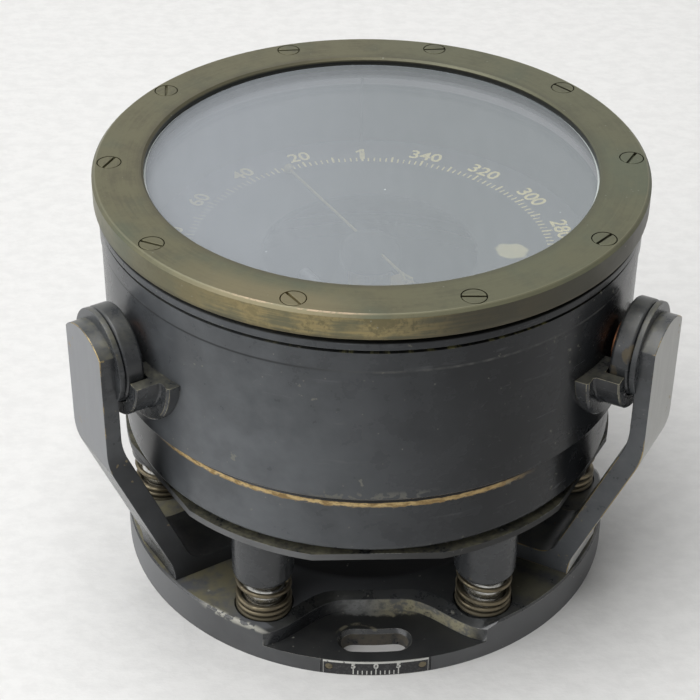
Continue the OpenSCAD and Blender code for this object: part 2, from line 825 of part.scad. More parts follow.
module bezel_ring() {
    soft = 0.6;
    seat_r = glass_r + fit;
    color("#77663f") difference() {
        rotate_extrude($fn = 240)
            polygon([[seat_r, case_top_z], [bezel_r - soft / 2, case_top_z],
                     [bezel_r, case_top_z + soft / 2], [bezel_r, top_z - bezel_bevel],
                     [bezel_r - bezel_bevel, top_z],
                     [window_r + soft, top_z], [window_r, top_z - soft], [window_r, top_z - bezel_lip],
                     [seat_r, top_z - bezel_lip]]);
        for (i = [0:bezel_screw_count - 1]) radial(bezel_screw_az(i)) translate([screw_ring_r, 0, 0]) {
            cylinder(r = bezel_screw_r + fit, h = top_z + 1);
            translate([0, 0, top_z - bezel_head_h]) cylinder(r = bezel_head_r + fit, h = 5);
        }
    }
}

module bezel_screws() {
    slot = 0.8;
    color("#6f6243") for (i = [0:bezel_screw_count - 1]) radial(bezel_screw_az(i))
        translate([screw_ring_r, 0, 0]) rotate([0, 0, SLOT_TURN[i]]) difference() {
            union() {
                translate([0, 0, top_z - bezel_head_h]) cylinder(r = bezel_head_r, h = bezel_head_h);
                translate([0, 0, top_z - bezel_screw_h]) cylinder(r = bezel_screw_r, h = bezel_screw_h - 1);
            }
            translate([-2 * bezel_head_r, -slot / 2, top_z - slot]) cube([4 * bezel_head_r, slot, 2]);
        }
}

glass_z = top_z - bezel_lip - glass_t;

module window_glass() {
    color("#b9c3cc", 0.35) translate([0, 0, glass_z]) cylinder(r = glass_r, h = glass_t);
}

module glass_gasket() {
    color("#16171a") ring(glass_r, lining_r + 0.2, case_top_z, glass_z);
}

// Inside the chamber

module chamber_lining() {
    color("#a7a3a8") ring(case_in_r - fit, lining_r, dial_z, case_top_z);
}

module dial_ring() {
    color("#1c1e20") ring(case_in_r - fit, dial_in_r, dial_z - dial_t, dial_z);
}

// A wire down the lining, at the back
module lubber_line() {
    color("#101010") radial(180) translate([lining_r - lubber_d / 2, 0, dial_z])
        cylinder(r = lubber_d / 2, h = case_top_z - dial_z);
}

module pivot_post() {
    color("#9a8a58") difference() {
        union() {
            translate([0, 0, floor_z]) cylinder(r = post_foot_r, h = post_foot_h);
            translate([0, 0, floor_z - 3]) cylinder(r = post_r, h = post_z - floor_z + 3);
        }
        translate([0, 0, post_z - 3 - fit]) cylinder(r = tip_r + fit, h = 5);
    }
}

module pivot_tip() {
    color("#c8c8c4") rotate_extrude()
        polygon([[0, post_z - 3], [tip_r, post_z - 3], [tip_r, post_z], [tip_point_r, tip_z], [0, tip_z]]);
}

// Needle

module float_hub() {
    dome_n = 8;
    shoulder = 2;
    dome = [for (i = [0:dome_n - 1])
        [float_r * cos(90 * i / dome_n), float_z + shoulder + (float_h - shoulder) * sin(90 * i / dome_n)]];
    color("#2a2c2e") radial(pointer_az) difference() {
        rotate_extrude()
            polygon(concat([[0, float_z], [float_r, float_z]], dome, [[0, float_z + float_h]]));
        translate([0, 0, float_z - 1]) cylinder(r = jewel_r + fit, h = tip_z + jewel_t - float_z + 1);
        bar_x(pointer_d / 2 + fit, -2 * float_r, 2 * float_r, pointer_z);
    }
}

module jewel_cup() {
    color("#7c3340") rotate_extrude()
        polygon([[0, tip_z + fit], [tip_point_r + fit, tip_z + fit], [tip_r, tip_z - jewel_skirt],
                 [jewel_r, tip_z - jewel_skirt], [jewel_r, tip_z + jewel_t], [0, tip_z + jewel_t]]);
}

module magnet_carrier() {
    half = magnet_offset + magnet_r + 1.2;
    wide = 6;
    color("#8f7d4d") radial(pointer_az) difference() {
        union() {
            translate([0, 0, carrier_z]) cylinder(r = sleeve_r, h = sleeve_h + carrier_h);
            translate([-wide / 2, -half, carrier_z]) cube([wide, 2 * half, carrier_h]);
        }
        translate([0, 0, carrier_z - 1]) cylinder(r = sleeve_bore_r, h = sleeve_h + carrier_h + 2);
        for (side = [-1, 1]) translate([0, side * magnet_offset, 0])
            bar_x(magnet_r + fit, -wide, wide, carrier_z + carrier_h / 2);
    }
}

module magnets() {
    color("#55585a") radial(pointer_az) for (side = [-1, 1]) translate([0, side * magnet_offset, 0])
        bar_x(magnet_r, -magnet_len / 2, magnet_len / 2, carrier_z + carrier_h / 2);
}

module pointer() {
    wire_r = pointer_d / 2;
    color("#d8cf9e") radial(pointer_az) {
        bar_x(wire_r, -tail_r, pointer_r - 0.3, pointer_z);
        for (side = [-1, 1]) translate([-tail_r, 0, 0]) rotate([0, 0, 180 + side * barb_angle])
            bar_x(wire_r, -wire_r, barb_len, pointer_z);
    }
}

module pointer_bead() {
    color("#e2dbb0") radial(pointer_az) difference() {
        translate([pointer_r, 0, pointer_z]) sphere(r = bead_r);
        bar_x(pointer_d / 2 + fit, 0, pointer_r - 0.3 + fit, pointer_z);
    }
}

// Pieces

base_casting();
scale_plate();
scale_plate_screws();
arm_left();
arm_right();
arm_rear();
arm_screws();
disc_left();
disc_right();
disc_rear();
disc_studs();
spring_guides();
spring_1();
spring_2();
spring_3();
spring_4();
spring_5();
spring_6();
bowl_case();
lower_bowl();
joint_gasket();
suspension_plate();
plate_screws();
spring_cup_1();
spring_cup_2();
spring_cup_3();
spring_cup_4();
spring_cup_5();
spring_cup_6();
cradle_left();
cradle_right();
cradle_rear();
bezel_ring();
bezel_screws();
window_glass();
glass_gasket();
chamber_lining();
dial_ring();
lubber_line();
expansion_diaphragm();
diaphragm_clamp();
filler_plug();
filler_washer();
pivot_post();
pivot_tip();
float_hub();
jewel_cup();
magnet_carrier();
magnets();
pointer();
pointer_bead();
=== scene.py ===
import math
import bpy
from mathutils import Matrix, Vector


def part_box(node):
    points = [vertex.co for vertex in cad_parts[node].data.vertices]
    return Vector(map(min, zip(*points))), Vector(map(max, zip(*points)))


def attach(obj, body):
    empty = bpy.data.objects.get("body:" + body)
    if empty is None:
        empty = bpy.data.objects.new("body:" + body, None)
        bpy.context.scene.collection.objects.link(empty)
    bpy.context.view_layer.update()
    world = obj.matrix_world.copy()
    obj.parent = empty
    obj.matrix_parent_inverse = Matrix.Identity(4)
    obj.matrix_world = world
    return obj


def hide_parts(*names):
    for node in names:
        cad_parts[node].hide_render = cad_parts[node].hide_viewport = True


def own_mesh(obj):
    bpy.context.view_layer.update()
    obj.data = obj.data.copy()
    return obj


bl_info = {
    "name": "Aircraft Compass",
    "version": (1, 0, 0),
    "blender": (4, 5, 0),
    "location": "View3D > Sidebar > Compass",
    "description": "Dresses a spring-mounted aircraft compass and sets its stage",
    "category": "Object",
}

import bmesh
import bpy
from mathutils import Matrix, Vector

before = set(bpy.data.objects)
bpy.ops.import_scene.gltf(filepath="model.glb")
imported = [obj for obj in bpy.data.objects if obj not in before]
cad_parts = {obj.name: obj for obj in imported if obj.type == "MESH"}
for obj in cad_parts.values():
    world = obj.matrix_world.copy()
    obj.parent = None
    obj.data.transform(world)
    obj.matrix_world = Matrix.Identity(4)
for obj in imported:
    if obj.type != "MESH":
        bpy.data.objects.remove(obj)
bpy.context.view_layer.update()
MM = 0.001
DEGREE = math.radians(1.0)

# Where like pieces stand, in degrees from the front towards +X
ARM_SIDES = {"left": -60, "right": 60, "rear": 180}
SPRING_AZIMUTHS = [30 + 60 * i for i in range(6)]
SCREW_AZIMUTHS = range(18, 378, 36)
POINTER_AZIMUTH = 207.5

# Modelling, in metres and degrees
SCREW_CIRCLE = 0.0704
SCREW_REACH = 0.004
SCREW_SCALE = (0.93, 0.93, 1)
POINTER_SCALE = (1, 0.45, 1)
CAD_MERGE = 2e-6
SPIN_MERGE = 1e-7
FLAT_ANGLE = 0.4
SHARP_ANGLE = 40
FINE_EDGE = 0.0001
TEXT_SIZE = 1.42  # times a numeral's height
TEXT_DEPTH = 0.00002
TEXT_GAP = 0.00004
SCALE_TEXT_LIFT = 0.0032
PANE_STEP = 0.45 * MM
WIRE_GAP = 0.0001
CLOSED_PITCH = 1.35  # times the wire's thickness

# The camera that was fitted to the photograph, and the lamps
CAMERA_SPOT = (-0.0238, -0.4437, 0.3710)
CAMERA_BACK = (-0.0343, -0.8179, 0.5744)
CAMERA_SIDE = (0.9991, -0.0419, 0.0)
CAMERA_ROLL = -0.69
SENSOR_WIDTH = 36.0
LAMP_AIM = (0, 0, 0.05)
WINDOW_SPOT, WINDOW_SIZE = (-1.42, -0.74, 1.50), 2.6
CEILING_SPOT, CEILING_SIZE = (-0.30, 0.10, 2.20), 1.6
BRIGHT_SIDE, DIM_SIDE = (0.98, 1.0, 1.02), (0.58, 0.57, 0.56)


# Sizes and colours


def length(name, description, default):
    return bpy.props.FloatProperty(
        name=name, description=description, default=default, unit="LENGTH", precision=5
    )


def level(name, description, default, unit="NONE"):
    return bpy.props.FloatProperty(name=name, description=description, default=default, unit=unit)


def colour(name, description, default):
    return bpy.props.FloatVectorProperty(
        name=name, description=description, default=default, subtype="COLOR", size=3, min=0, max=1
    )


class CompassPaint(bpy.types.PropertyGroup):
    black: colour("Black paint", "Satin paint of the bowl, arms and base", (0.0115, 0.0125, 0.014))
    # the rubbed grey is also the colour of the painted light on the left of the bowl
    grey: colour("Rubbed paint", "Paint where it has been rubbed pale", (0.150, 0.160, 0.171))
    bare: colour("Bare brass", "Brass that shows where paint is worn off", (0.36, 0.28, 0.14))
    primer: colour("Primer", "Pale undercoat in the chips of the base", (0.40, 0.39, 0.34))
    dust: colour("Dust", "Olive dust on ledges", (0.17, 0.16, 0.105))
    bezel: colour("Bezel brass", "Main tone of the bezel", (0.138, 0.130, 0.075))
    bezel_dark: colour("Bezel tarnish", "Dark tarnish on the bezel", (0.075, 0.066, 0.041))
    bezel_green: colour("Bezel verdigris", "Greenish film on the bezel", (0.105, 0.120, 0.080))
    bezel_rust: colour("Bezel stain", "Yellow brown stain on the bezel's side", (0.31, 0.245, 0.11))
    # bezel_rose colours a rubbed edge that also serves as a painted highlight
    bezel_rose: colour("Bezel rubbed edge", "Rubbed edge of the bezel", (0.32, 0.25, 0.17))
    copper: colour("Copper", "Studs that hold the discs", (0.40, 0.18, 0.09))
    steel: colour("Steel", "Guide pins", (0.62, 0.62, 0.60))
    bronze: colour("Spring bronze", "Dulled wire of the springs", (0.175, 0.148, 0.10))
    chip: colour("Chip", "Dull metal in the chips of the bowl", (0.24, 0.235, 0.19))
    luminous: colour("Luminous paint", "Numerals, ticks and pointer", (0.84, 0.73, 0.31))
    lining: colour("Lining", "Upper band of the chamber's wall", (0.34, 0.30, 0.33))
    # the haze colour also stands for the room's reflection on the glass, as painted reflection
    haze: colour("Glass haze", "Film on the window glass", (0.60, 0.645, 0.69))
    white: colour("Scale white", "Ticks and border of the azimuth scale", (0.66, 0.66, 0.62))


class CompassSizes(bpy.types.PropertyGroup):
    edge: length("Edge", "Width of the rounding along an edge", 0.0003)
    wire: length("Spring wire", "Radius of the spring wire", 0.0007)
    spring: length("Spring radius", "Radius of a spring at the middle of its wire", 0.0072)
    spring_circle: length("Spring circle", "Radius of the circle on which the springs stand", 0.0612)
    spring_foot: length("Spring foot", "Height of the seat of a spring", 0.0095)
    spring_head: length("Spring head", "Height of the rim that a spring bears on", 0.023)
    numeral: length("Dial numeral", "Height of a dial numeral", 0.0047)
    numeral_circle: length("Numeral circle", "Radius of the circle of dial numerals", 0.0555)
    scale_numeral: length("Scale numeral", "Height of a numeral on the azimuth scale", 0.0018)


class CompassStage(bpy.types.PropertyGroup):
    lens: level("Lens", "Focal length in millimetres", 96.86, "CAMERA")
    key: level("Window", "Power of the window light", 32.0, "POWER")
    top: level("Ceiling", "Power of the ceiling light", 37.0, "POWER")
    sky: level("Sky", "Strength of the room's light", 0.20)
    wall: level("Wall", "Brightness of the pale room", 0.88)
    floor: colour("Floor", "Pale board under the compass", (0.82, 0.815, 0.80))


# Shader maths


class Signal:
    """A shader socket that takes part in plain arithmetic."""

    def __init__(self, nodes, socket):
        self.nodes = nodes
        self.socket = socket

    def calc(self, operation, other=None, swap=False):
        """A Math node on this value, and on another one where the operation takes two."""
        pair = (other, self) if swap else (self, other)
        sockets = {i: v for i, v in enumerate(pair) if v is not None}
        return self.nodes.add("ShaderNodeMath", {"operation": operation}, sockets)

    def __add__(self, other):
        return self.calc("ADD", other)

    __radd__ = __add__

    def __sub__(self, other):
        return self.calc("SUBTRACT", other)

    def __rsub__(self, other):
        return self.calc("SUBTRACT", other, swap=True)

    def __mul__(self, other):
        return self.calc("MULTIPLY", other)

    __rmul__ = __mul__

    def __mod__(self, other):
        return self.calc("FLOORED_MODULO", other)

    def __abs__(self):
        return self.calc("ABSOLUTE")

    def __gt__(self, other):
        return self.calc("GREATER_THAN", other)

    def __lt__(self, other):
        return self.calc("LESS_THAN", other)

    def __or__(self, other):
        return self.calc("MAXIMUM", other)

    def ease(self, low, high):
        """0 below low, 1 above high and a smooth step between them."""
        settings = {"interpolation_type": "SMOOTHSTEP"}
        return self.nodes.add("ShaderNodeMapRange", settings, {0: self, 1: low, 2: high})

    def between(self, low, full, fading, high):
        """1 from full to fading, with smooth steps from 0 at low and to 0 at high."""
        return self.ease(low, full) * self.ease(high, fading)


class NodeTree:
    """Adds nodes to the tree of a material or the world."""

    def __init__(self, tree):
        self.tree = tree

    def add(self, kind, settings=None, sockets=None, out=0, whole=False):
        """An output of a new node, or the whole node. Its settings are made before its sockets."""
        node = self.tree.nodes.new(kind)
        for key, value in (settings or {}).items():
            setattr(node, key, value)
        for key, value in (sockets or {}).items():
            self.feed(node.inputs[key], value)
        return node if whole else Signal(self, node.outputs[out])

    def feed(self, socket, value):
        """Links a signal to a socket, or sets a number, vector or colour on it."""
        if isinstance(value, Signal):
            self.tree.links.new(value.socket, socket)
        elif isinstance(value, (int, float)):
            socket.default_value = value
        else:
            value = tuple(value)
            room = len(socket.default_value)
            socket.default_value = value + (1.0,) * (room - len(value))

    def split(self, vector):
        """The three parts of a vector."""
        node = self.add("ShaderNodeSeparateXYZ", {}, {0: vector}, whole=True)
        return [Signal(self, part) for part in node.outputs]

    def mix(self, amount, first, second):
        """A colour between two others."""
        sockets = {0: amount, 6: first, 7: second}
        return self.add("ShaderNodeMix", {"data_type": "RGBA"}, sockets, out=2)


class Finish(NodeTree):
    """A material built from nodes, on the piece's own coordinates in millimetres."""

    def __init__(self, name):
        self.material = bpy.data.materials.new(name)
        self.material.use_nodes = True
        super().__init__(self.material.node_tree)
        self.shader = self.tree.nodes["Principled BSDF"]
        spot = self.add("ShaderNodeTexCoord", out="Object")
        sockets = {0: spot, "Scale": 1 / MM}
        self.place = self.add("ShaderNodeVectorMath", {"operation": "SCALE"}, sockets)
        self.x, self.y, self.z = self.split(self.place)

    def noise(self, scale, detail=3.0, rough=0.55, at=None, twist=0.0):
        sockets = {
            "Vector": at or self.place, "Scale": scale, "Detail": detail, "Roughness": rough,
            "Distortion": twist,
        }
        return self.add("ShaderNodeTexNoise", {}, sockets)

    def cells(self, scale):
        """Distance from the nearest of scattered points."""
        return self.add("ShaderNodeTexVoronoi", {}, {"Vector": self.place, "Scale": scale})

    def point(self, x, y, z):
        return self.add("ShaderNodeCombineXYZ", {}, {0: x, 1: y, 2: z})

    def worn(self):
        """1 on the rounded edges of a piece."""
        return self.add("ShaderNodeAttribute", {"attribute_name": "edge"}, out="Fac")

    def facing_up(self):
        """How far the surface faces up."""
        return self.split(self.add("ShaderNodeNewGeometry", out="Normal"))[2]

    def facing_out(self):
        """How far the surface faces away from the compass's axis."""
        normal = self.add("ShaderNodeNewGeometry", out="Normal")
        outward = self.point(self.x, self.y, 0.0)
        outward = self.add("ShaderNodeVectorMath", {"operation": "NORMALIZE"}, {0: outward})
        settings = {"operation": "DOT_PRODUCT"}
        return self.add("ShaderNodeVectorMath", settings, {0: normal, 1: outward}, "Value")

    def off_middle(self, first):
        """Degrees from the nearest of three even directions, of which one is given."""
        return (self.azimuth() + (420.0 - first)) % 120.0 - 60.0

    def along_across(self, first):
        """Distances along and across the nearest of three even directions."""
        turn = self.off_middle(first) * DEGREE
        return self.radius() * turn.calc("COSINE"), self.radius() * turn.calc("SINE")

    def by_arm(self):
        """Distances along and across the nearest arm."""
        return self.along_across(ARM_SIDES["left"])

    def by_pocket(self):
        """Distances along and across the middle of the nearest pocket."""
        return self.along_across(0.0)

    def azimuth(self):
        """Degrees from the front, towards +X."""
        return self.x.calc("ARCTAN2", self.y * -1.0) * math.degrees(1.0)

    def radius(self):
        return (self.x * self.x + self.y * self.y).calc("SQRT")

    def set(self, socket, value):
        self.feed(self.shader.inputs[socket], value)

    def done(self, base, rough, relief=None, depth=0.0, strength=0.4):
        """Sets the colour, the roughness and any fine relief, and gives the material."""
        self.set("Base Color", base)
        self.set("Roughness", rough)
        if relief is not None:
            sockets = {"Height": relief, "Distance": depth, "Strength": strength}
            self.set("Normal", self.add("ShaderNodeBump", {}, sockets))
        return self.material


# Finishes: heights and radii are in millimetres, and azimuths in degrees


def paints():
    return bpy.context.scene.compass_paint


def worn_paint(
    name, dusty=0.5, rubbed=0.5, chipped=0.5, bare=None, marks=(), spare=None, lit_left=0.0, gloss=0.4
):
    """Old satin black paint: rubbed patches, specks, scratches, dust and bare edges.

    Each mark is a function that gives a mask and a colour to lay over the paint, and spare is
    one that gives 0 where edges keep their paint. With lit_left, painted light makes the left
    side paler, the lower part most.
    """
    tone = paints()
    f = Finish(name)
    broad = f.noise(0.022, 4.0)
    mottle = f.noise(0.16, 5.0, 0.6)
    fine = f.noise(1.1, 3.0, 0.6)
    around = f.point(f.azimuth() * 0.12, f.radius() * 0.3, f.z)
    scuffs = f.noise(0.6, 4.0, 0.6, at=around)
    rub = (broad * 0.75 + mottle * 0.25).ease(0.30, 0.68) * rubbed
    # painted light: the left of the piece and its lower part are made paler, standing for light from
    # the left
    if lit_left:
        side = f.x.ease(34.0, -42.0) * (1.0 - 0.6 * f.x.ease(-48.0, -72.0))
        side = side * (0.85 + 0.2 * f.z.ease(105.0, 68.0))
        cloud = (broad * 0.7 + mottle * 0.3).ease(0.38, 0.6)
        rub = rub * (1.0 - lit_left) + side * lit_left * (0.65 + 0.28 * cloud)
    base = f.mix(rub, tone.black, tone.grey)
    turn = f.azimuth() * 1.2
    slant = f.noise(0.9, 3.0, 0.6, at=f.point((turn + f.z) * 0.14, turn - f.z, 0.0))
    lines = (scuffs.ease(0.61, 0.70) | slant.ease(0.68, 0.74)) * mottle.ease(0.42, 0.6) * 0.45
    base = f.mix(lines * rubbed, base, (0.15, 0.155, 0.16))
    specks = f.cells(0.42).ease(0.11, 0.05) * f.noise(0.08).ease(0.5, 0.62)
    base = f.mix(specks * 0.7, base, (0.24, 0.235, 0.20))
    film = f.facing_up().ease(0.35, 0.95) * (mottle * 0.6 + fine * 0.4).ease(0.34, 0.66) * dusty
    base = f.mix(film, base, tone.dust)
    dull = film
    for mark in marks:
        mask, shade = mark(f)
        base = f.mix(mask, base, shade)
        dull = dull | mask
    edge_noise = f.noise(0.05, 3.0) * 0.5 + mottle * 0.3 + fine * 0.2
    worn = f.worn() * edge_noise.ease(0.56 - 0.12 * chipped, 0.64 - 0.12 * chipped)
    if spare:
        worn = worn * spare(f)
    chips = (f.noise(0.13, 2.0) * 0.5 + f.noise(0.55, 2.0) * 0.5).ease(0.65, 0.685) * chipped
    shown = worn | chips * 0.7
    if bare is None:
        f.set("Metallic", shown * 0.6)
    f.set("Specular IOR Level", gloss)
    rough = 0.20 + 0.12 * mottle + 0.06 * rub + dull * 0.4 + lines * 0.2
    relief = fine * 0.4 + mottle * 0.4 - shown * 0.9
    return f.done(f.mix(shown, base, bare or tone.bare), rough, relief, 0.00005)


def rubbed_faces(f):
    """Outer faces of the arms, rubbed to a pale grey, with painted light that makes the right arm's
    faces, its low ones too, the palest.
    """
    along, across = f.by_arm()
    streak = f.noise(0.5, 4.0, 0.6, at=f.point(across, f.z * 0.12, along * 0.1))
    outward = f.facing_out()
    face = outward.ease(0.93, 0.97) * along.ease(85.5, 86.5)
    low = outward.ease(0.4, 0.6) * f.z.ease(60.0, 57.0) * f.x.ease(0.0, 20.0) * 0.8
    # painted light: the right arm's faces get the paler grey
    shade = f.mix(f.x.ease(-20.0, 20.0), (0.30, 0.306, 0.318), (0.62, 0.62, 0.60))
    return (face | low) * (0.72 + 0.28 * streak), shade


def boss_dust(f):
    """Olive dust on the boss and the top of an arm's head."""
    along, _ = f.by_arm()
    grain = f.noise(0.3, 4.0, 0.6)
    top = f.facing_up().ease(0.15, 0.75) * f.z.ease(88.0, 92.0) * along.ease(87.5, 84.0)
    return top * grain.ease(0.42, 0.66) * 0.4, paints().dust


def kept_paint(f):
    """Painted shade on the lower half of the left arm, which is made black."""
    inner = f.facing_out().ease(0.9, 0.6)
    return f.x.ease(0.0, -20.0) * f.z.ease(66.0, 56.0) * inner * 0.6, (0.012, 0.0125, 0.0145)


def arm_edges(f):
    """Only the outer edges of the arms are worn, and the whole foot of the right one."""
    along, _ = f.by_arm()
    return (along > 86.5) | (f.x > 0.0) * (f.z < 58.0)


def rim_grey(f):
    """Wall of the base's rim, rubbed grey, and palest at the left as painted light."""
    streak = f.noise(0.25, 4.0, 0.6)
    wall = f.facing_out().ease(0.93, 0.98) * f.radius().ease(70.8, 71.2)
    # painted light: most of the grey is laid at the left
    cover = 0.16 + 0.1 * f.x.ease(0.0, 30.0) + 0.7 * f.x.ease(-42.0, -68.0) + 0.12 * streak
    return wall * cover, (0.19, 0.194, 0.20)


def sheet_edge(f):
    """Edge of the suspension plate, grey at the left, partly rubbed and partly painted light."""
    streak = f.noise(0.2, 4.0, 0.6)
    wall = f.facing_up().ease(0.7, 0.4) * f.radius().ease(64.0, 65.0) * f.z.ease(39.3, 39.6)
    # painted light: the grey fades in towards the left
    pale = f.x.ease(20.0, -30.0) * (0.6 + 0.4 * streak)
    return wall * 0.95, f.mix(pale, (0.022, 0.022, 0.021), (0.165, 0.168, 0.17))


def low_chips(f):
    """Row of chips along the bottom of the case at the front."""
    az = f.azimuth()
    grain = f.noise(0.55, 3.0, 0.5)
    row = f.z.between(63.9, 64.3, 65.6, 67.2) * az.between(-16.0, -11.0, 6.0, 13.0)
    return row * (grain + f.noise(0.2) * 0.3).ease(0.66, 0.73) * 0.8, (0.15, 0.15, 0.132)


def groove_dirt(low, high, cover):
    """Dark band along a turned line, olive at the front where cover is given: dirt and painted shade in
    a groove, painted shadow under an overhang.
    """
    def mark(f):
        az = f.azimuth()
        soft = 0.06
        inside = f.z.between(low - soft, low + soft, high - soft, high + soft)
        grain = f.noise(0.35, 4.0, 0.65, at=f.point(az, f.z * 0.6, 0.0))
        front = az.between(-30.0, -15.0, 30.0, 45.0) * 0.8 + 0.2
        shade = f.mix(grain.ease(0.48, 0.62) * front * cover, (0.004, 0.004, 0.004), (0.24, 0.23, 0.10))
        return inside * (0.4 + 0.4 * az.ease(-34.0, -2.0)), shade
    return mark


def step_line(f):
    """Faint turned step: a soft dark line at the left, partly dirt and partly painted shadow under the
    step, and pale rubs elsewhere.
    """
    az = f.azimuth()
    grain = f.noise(0.3, 4.0, 0.65, at=f.point(az, f.z * 0.5, 0.0))
    line = f.z.between(103.7, 104.1, 104.5, 104.9)
    shade = f.mix(az.ease(-20.0, 4.0), (0.006, 0.006, 0.006), (0.13, 0.13, 0.12))
    dark = az.ease(0.0, -26.0) * 0.65
    pale = az.ease(-16.0, 8.0) * (0.1 + grain.ease(0.45, 0.62) * 0.5)
    return line * (dark + pale), shade


def rubbed_strip(f):
    """Brass bared where the case has worked against the lower bowl."""
    grain = f.noise(0.5, 4.0, 0.65, at=f.point(f.azimuth() * 0.8, f.z * 1.4, 0.0))
    az = f.azimuth()
    front = az.between(-60.0, -46.0, 24.0, 38.0)
    below, above = f.z + (grain - 0.5) * 2.6, f.z + (grain - 0.5) * 0.6
    strip = below.ease(58.6, 59.1) * above.ease(60.35, 60.1) * front
    shade = f.mix(grain.ease(0.4, 0.62), (0.68, 0.50, 0.24), (0.30, 0.20, 0.085))
    shade = f.mix(az.ease(-8.0, 30.0) * 0.3, shade, (0.30, 0.19, 0.07))
    return strip * grain.ease(0.26, 0.42), shade


def chamber_floor(f):
    """Clean black paint inside the bowl."""
    return f.radius().ease(64.0, 62.0), (0.010, 0.011, 0.012)


def pocket_wear(f):
    """Grey-olive wear on the pocket walls and in the slots."""
    grain = f.noise(0.3, 5.0, 0.65)
    along, across = f.by_pocket()
    wall = f.z.between(5.3, 5.7, 9.3, 9.9) * f.facing_up().ease(0.85, 0.55)
    wall = wall * across.between(-15.0, -4.0, 24.0, 31.0) * along.ease(66.0, 62.0)
    spread = (f.z < 5.6) * (along + (grain - 0.5) * 5.0).ease(53.6, 52.4)
    spread = spread * across.between(-12.0, -6.0, 9.0, 15.0) * (along > 49.0)
    slot = (f.z < 4.9) * f.facing_up().ease(0.5, 0.2) * (along > 56.0) * (abs(across) < 13.0)
    pale = f.mix(across.ease(-4.0, 8.0), (0.30, 0.306, 0.30), (0.44, 0.405, 0.27))
    shade = f.mix(grain.ease(0.42, 0.62), pale, (0.17, 0.172, 0.165))
    shade = f.mix(slot, shade, (0.12, 0.105, 0.08))
    cover = (wall * grain.ease(0.26, 0.44)) | (spread * 0.8) | (slot * grain.ease(0.35, 0.55))
    return cover * 0.9, shade


def rim_chips(f):
    """Paint broken off the rim at the left of the front."""
    az = f.azimuth()
    grain = f.noise(0.34, 3.0, 0.5)
    place = az.between(-44.0, -38.0, -19.0, -13.0)
    place = place * f.radius().ease(70.0, 70.9) * f.z.ease(9.2, 10.4)
    lip = f.worn() * az.between(-30.0, -25.0, -12.0, -9.0)
    lip = lip * (f.radius() > 70.2) * (f.z < 6.5) * (f.z > 3.5)
    return place * grain.ease(0.45, 0.48) | lip * grain.ease(0.36, 0.50) * 0.7, (0.42, 0.41, 0.36)


def base_edges(f):
    """Worn at the rim and in the slots; the pocket's own edges keep their paint."""
    return (f.radius() > 69.6) | (f.z < 5.6)


def deep_well(f):
    """Painted shade in the well under the bowl."""
    return f.radius().ease(45.5, 43.0) * 0.85, (0.006, 0.006, 0.007)


def plateau_rub(f):
    """Top of the base, made a little grey towards the left as painted sheen."""
    top = f.facing_up().ease(0.9, 0.99) * f.z.ease(9.6, 10.6)
    return top * f.x.ease(30.0, -20.0) * 0.75, (0.115, 0.12, 0.131)


def pocket_floor(f):
    """Floors of the pockets, made darker than the rest of the paint."""
    flat = f.facing_up().ease(0.8, 0.95) * f.z.between(4.6, 5.0, 5.5, 6.0)
    return flat * (f.radius() > 49.0) * 0.7, (0.006, 0.0065, 0.007)


def washer_mark(f):
    """Crescent left by a washer beside the front slot."""
    dx, dy = f.x + 4.6, f.y + 62.6
    ring = abs((dx * dx + dy * dy).calc("SQRT") - 6.2)
    side = (dx * 0.2 + dy).ease(0.5, 4.0) * f.z.between(4.6, 5.0, 5.5, 5.9)
    return ring.ease(0.8, 0.2) * side * f.noise(0.5, 3.0).ease(0.38, 0.56) * 0.8, (0.19, 0.175, 0.125)


def ledge_film(f):
    """Olive dust on the base's top, thick by the arms and springs and thin at the front."""
    grain = f.noise(0.14, 5.0, 0.6)
    sector = abs(f.off_middle(0.0))
    top = f.facing_up().ease(0.8, 0.98) * f.z.ease(9.0, 10.5)
    top = top * f.radius().ease(45.0, 47.0) * (0.4 + 0.6 * f.x.ease(40.0, 0.0))
    return top * sector.ease(31.0, 41.0) * grain.ease(0.36, 0.60) * 0.85, (0.20, 0.182, 0.105)


def disc_wear(f):
    """Brown patches where paint has gone from a disc's edge."""
    along, across = f.by_arm()
    grain = f.noise(0.5, 4.0, 0.6)
    patch = 0.0
    for at, height, reach in ((81.4, 92.6, 2.6), (78.0, 87.4, 1.9)):
        da, dz = along - at, f.z - height
        far = (da * da * 2.2 + dz * dz).calc("SQRT") + (grain - 0.5) * 3.0
        patch = far.ease(reach, reach - 0.7) | patch
    patch = patch * (across < 0.0)
    return patch * 0.85, f.mix(grain.ease(0.42, 0.6), (0.105, 0.085, 0.052), (0.06, 0.052, 0.04))


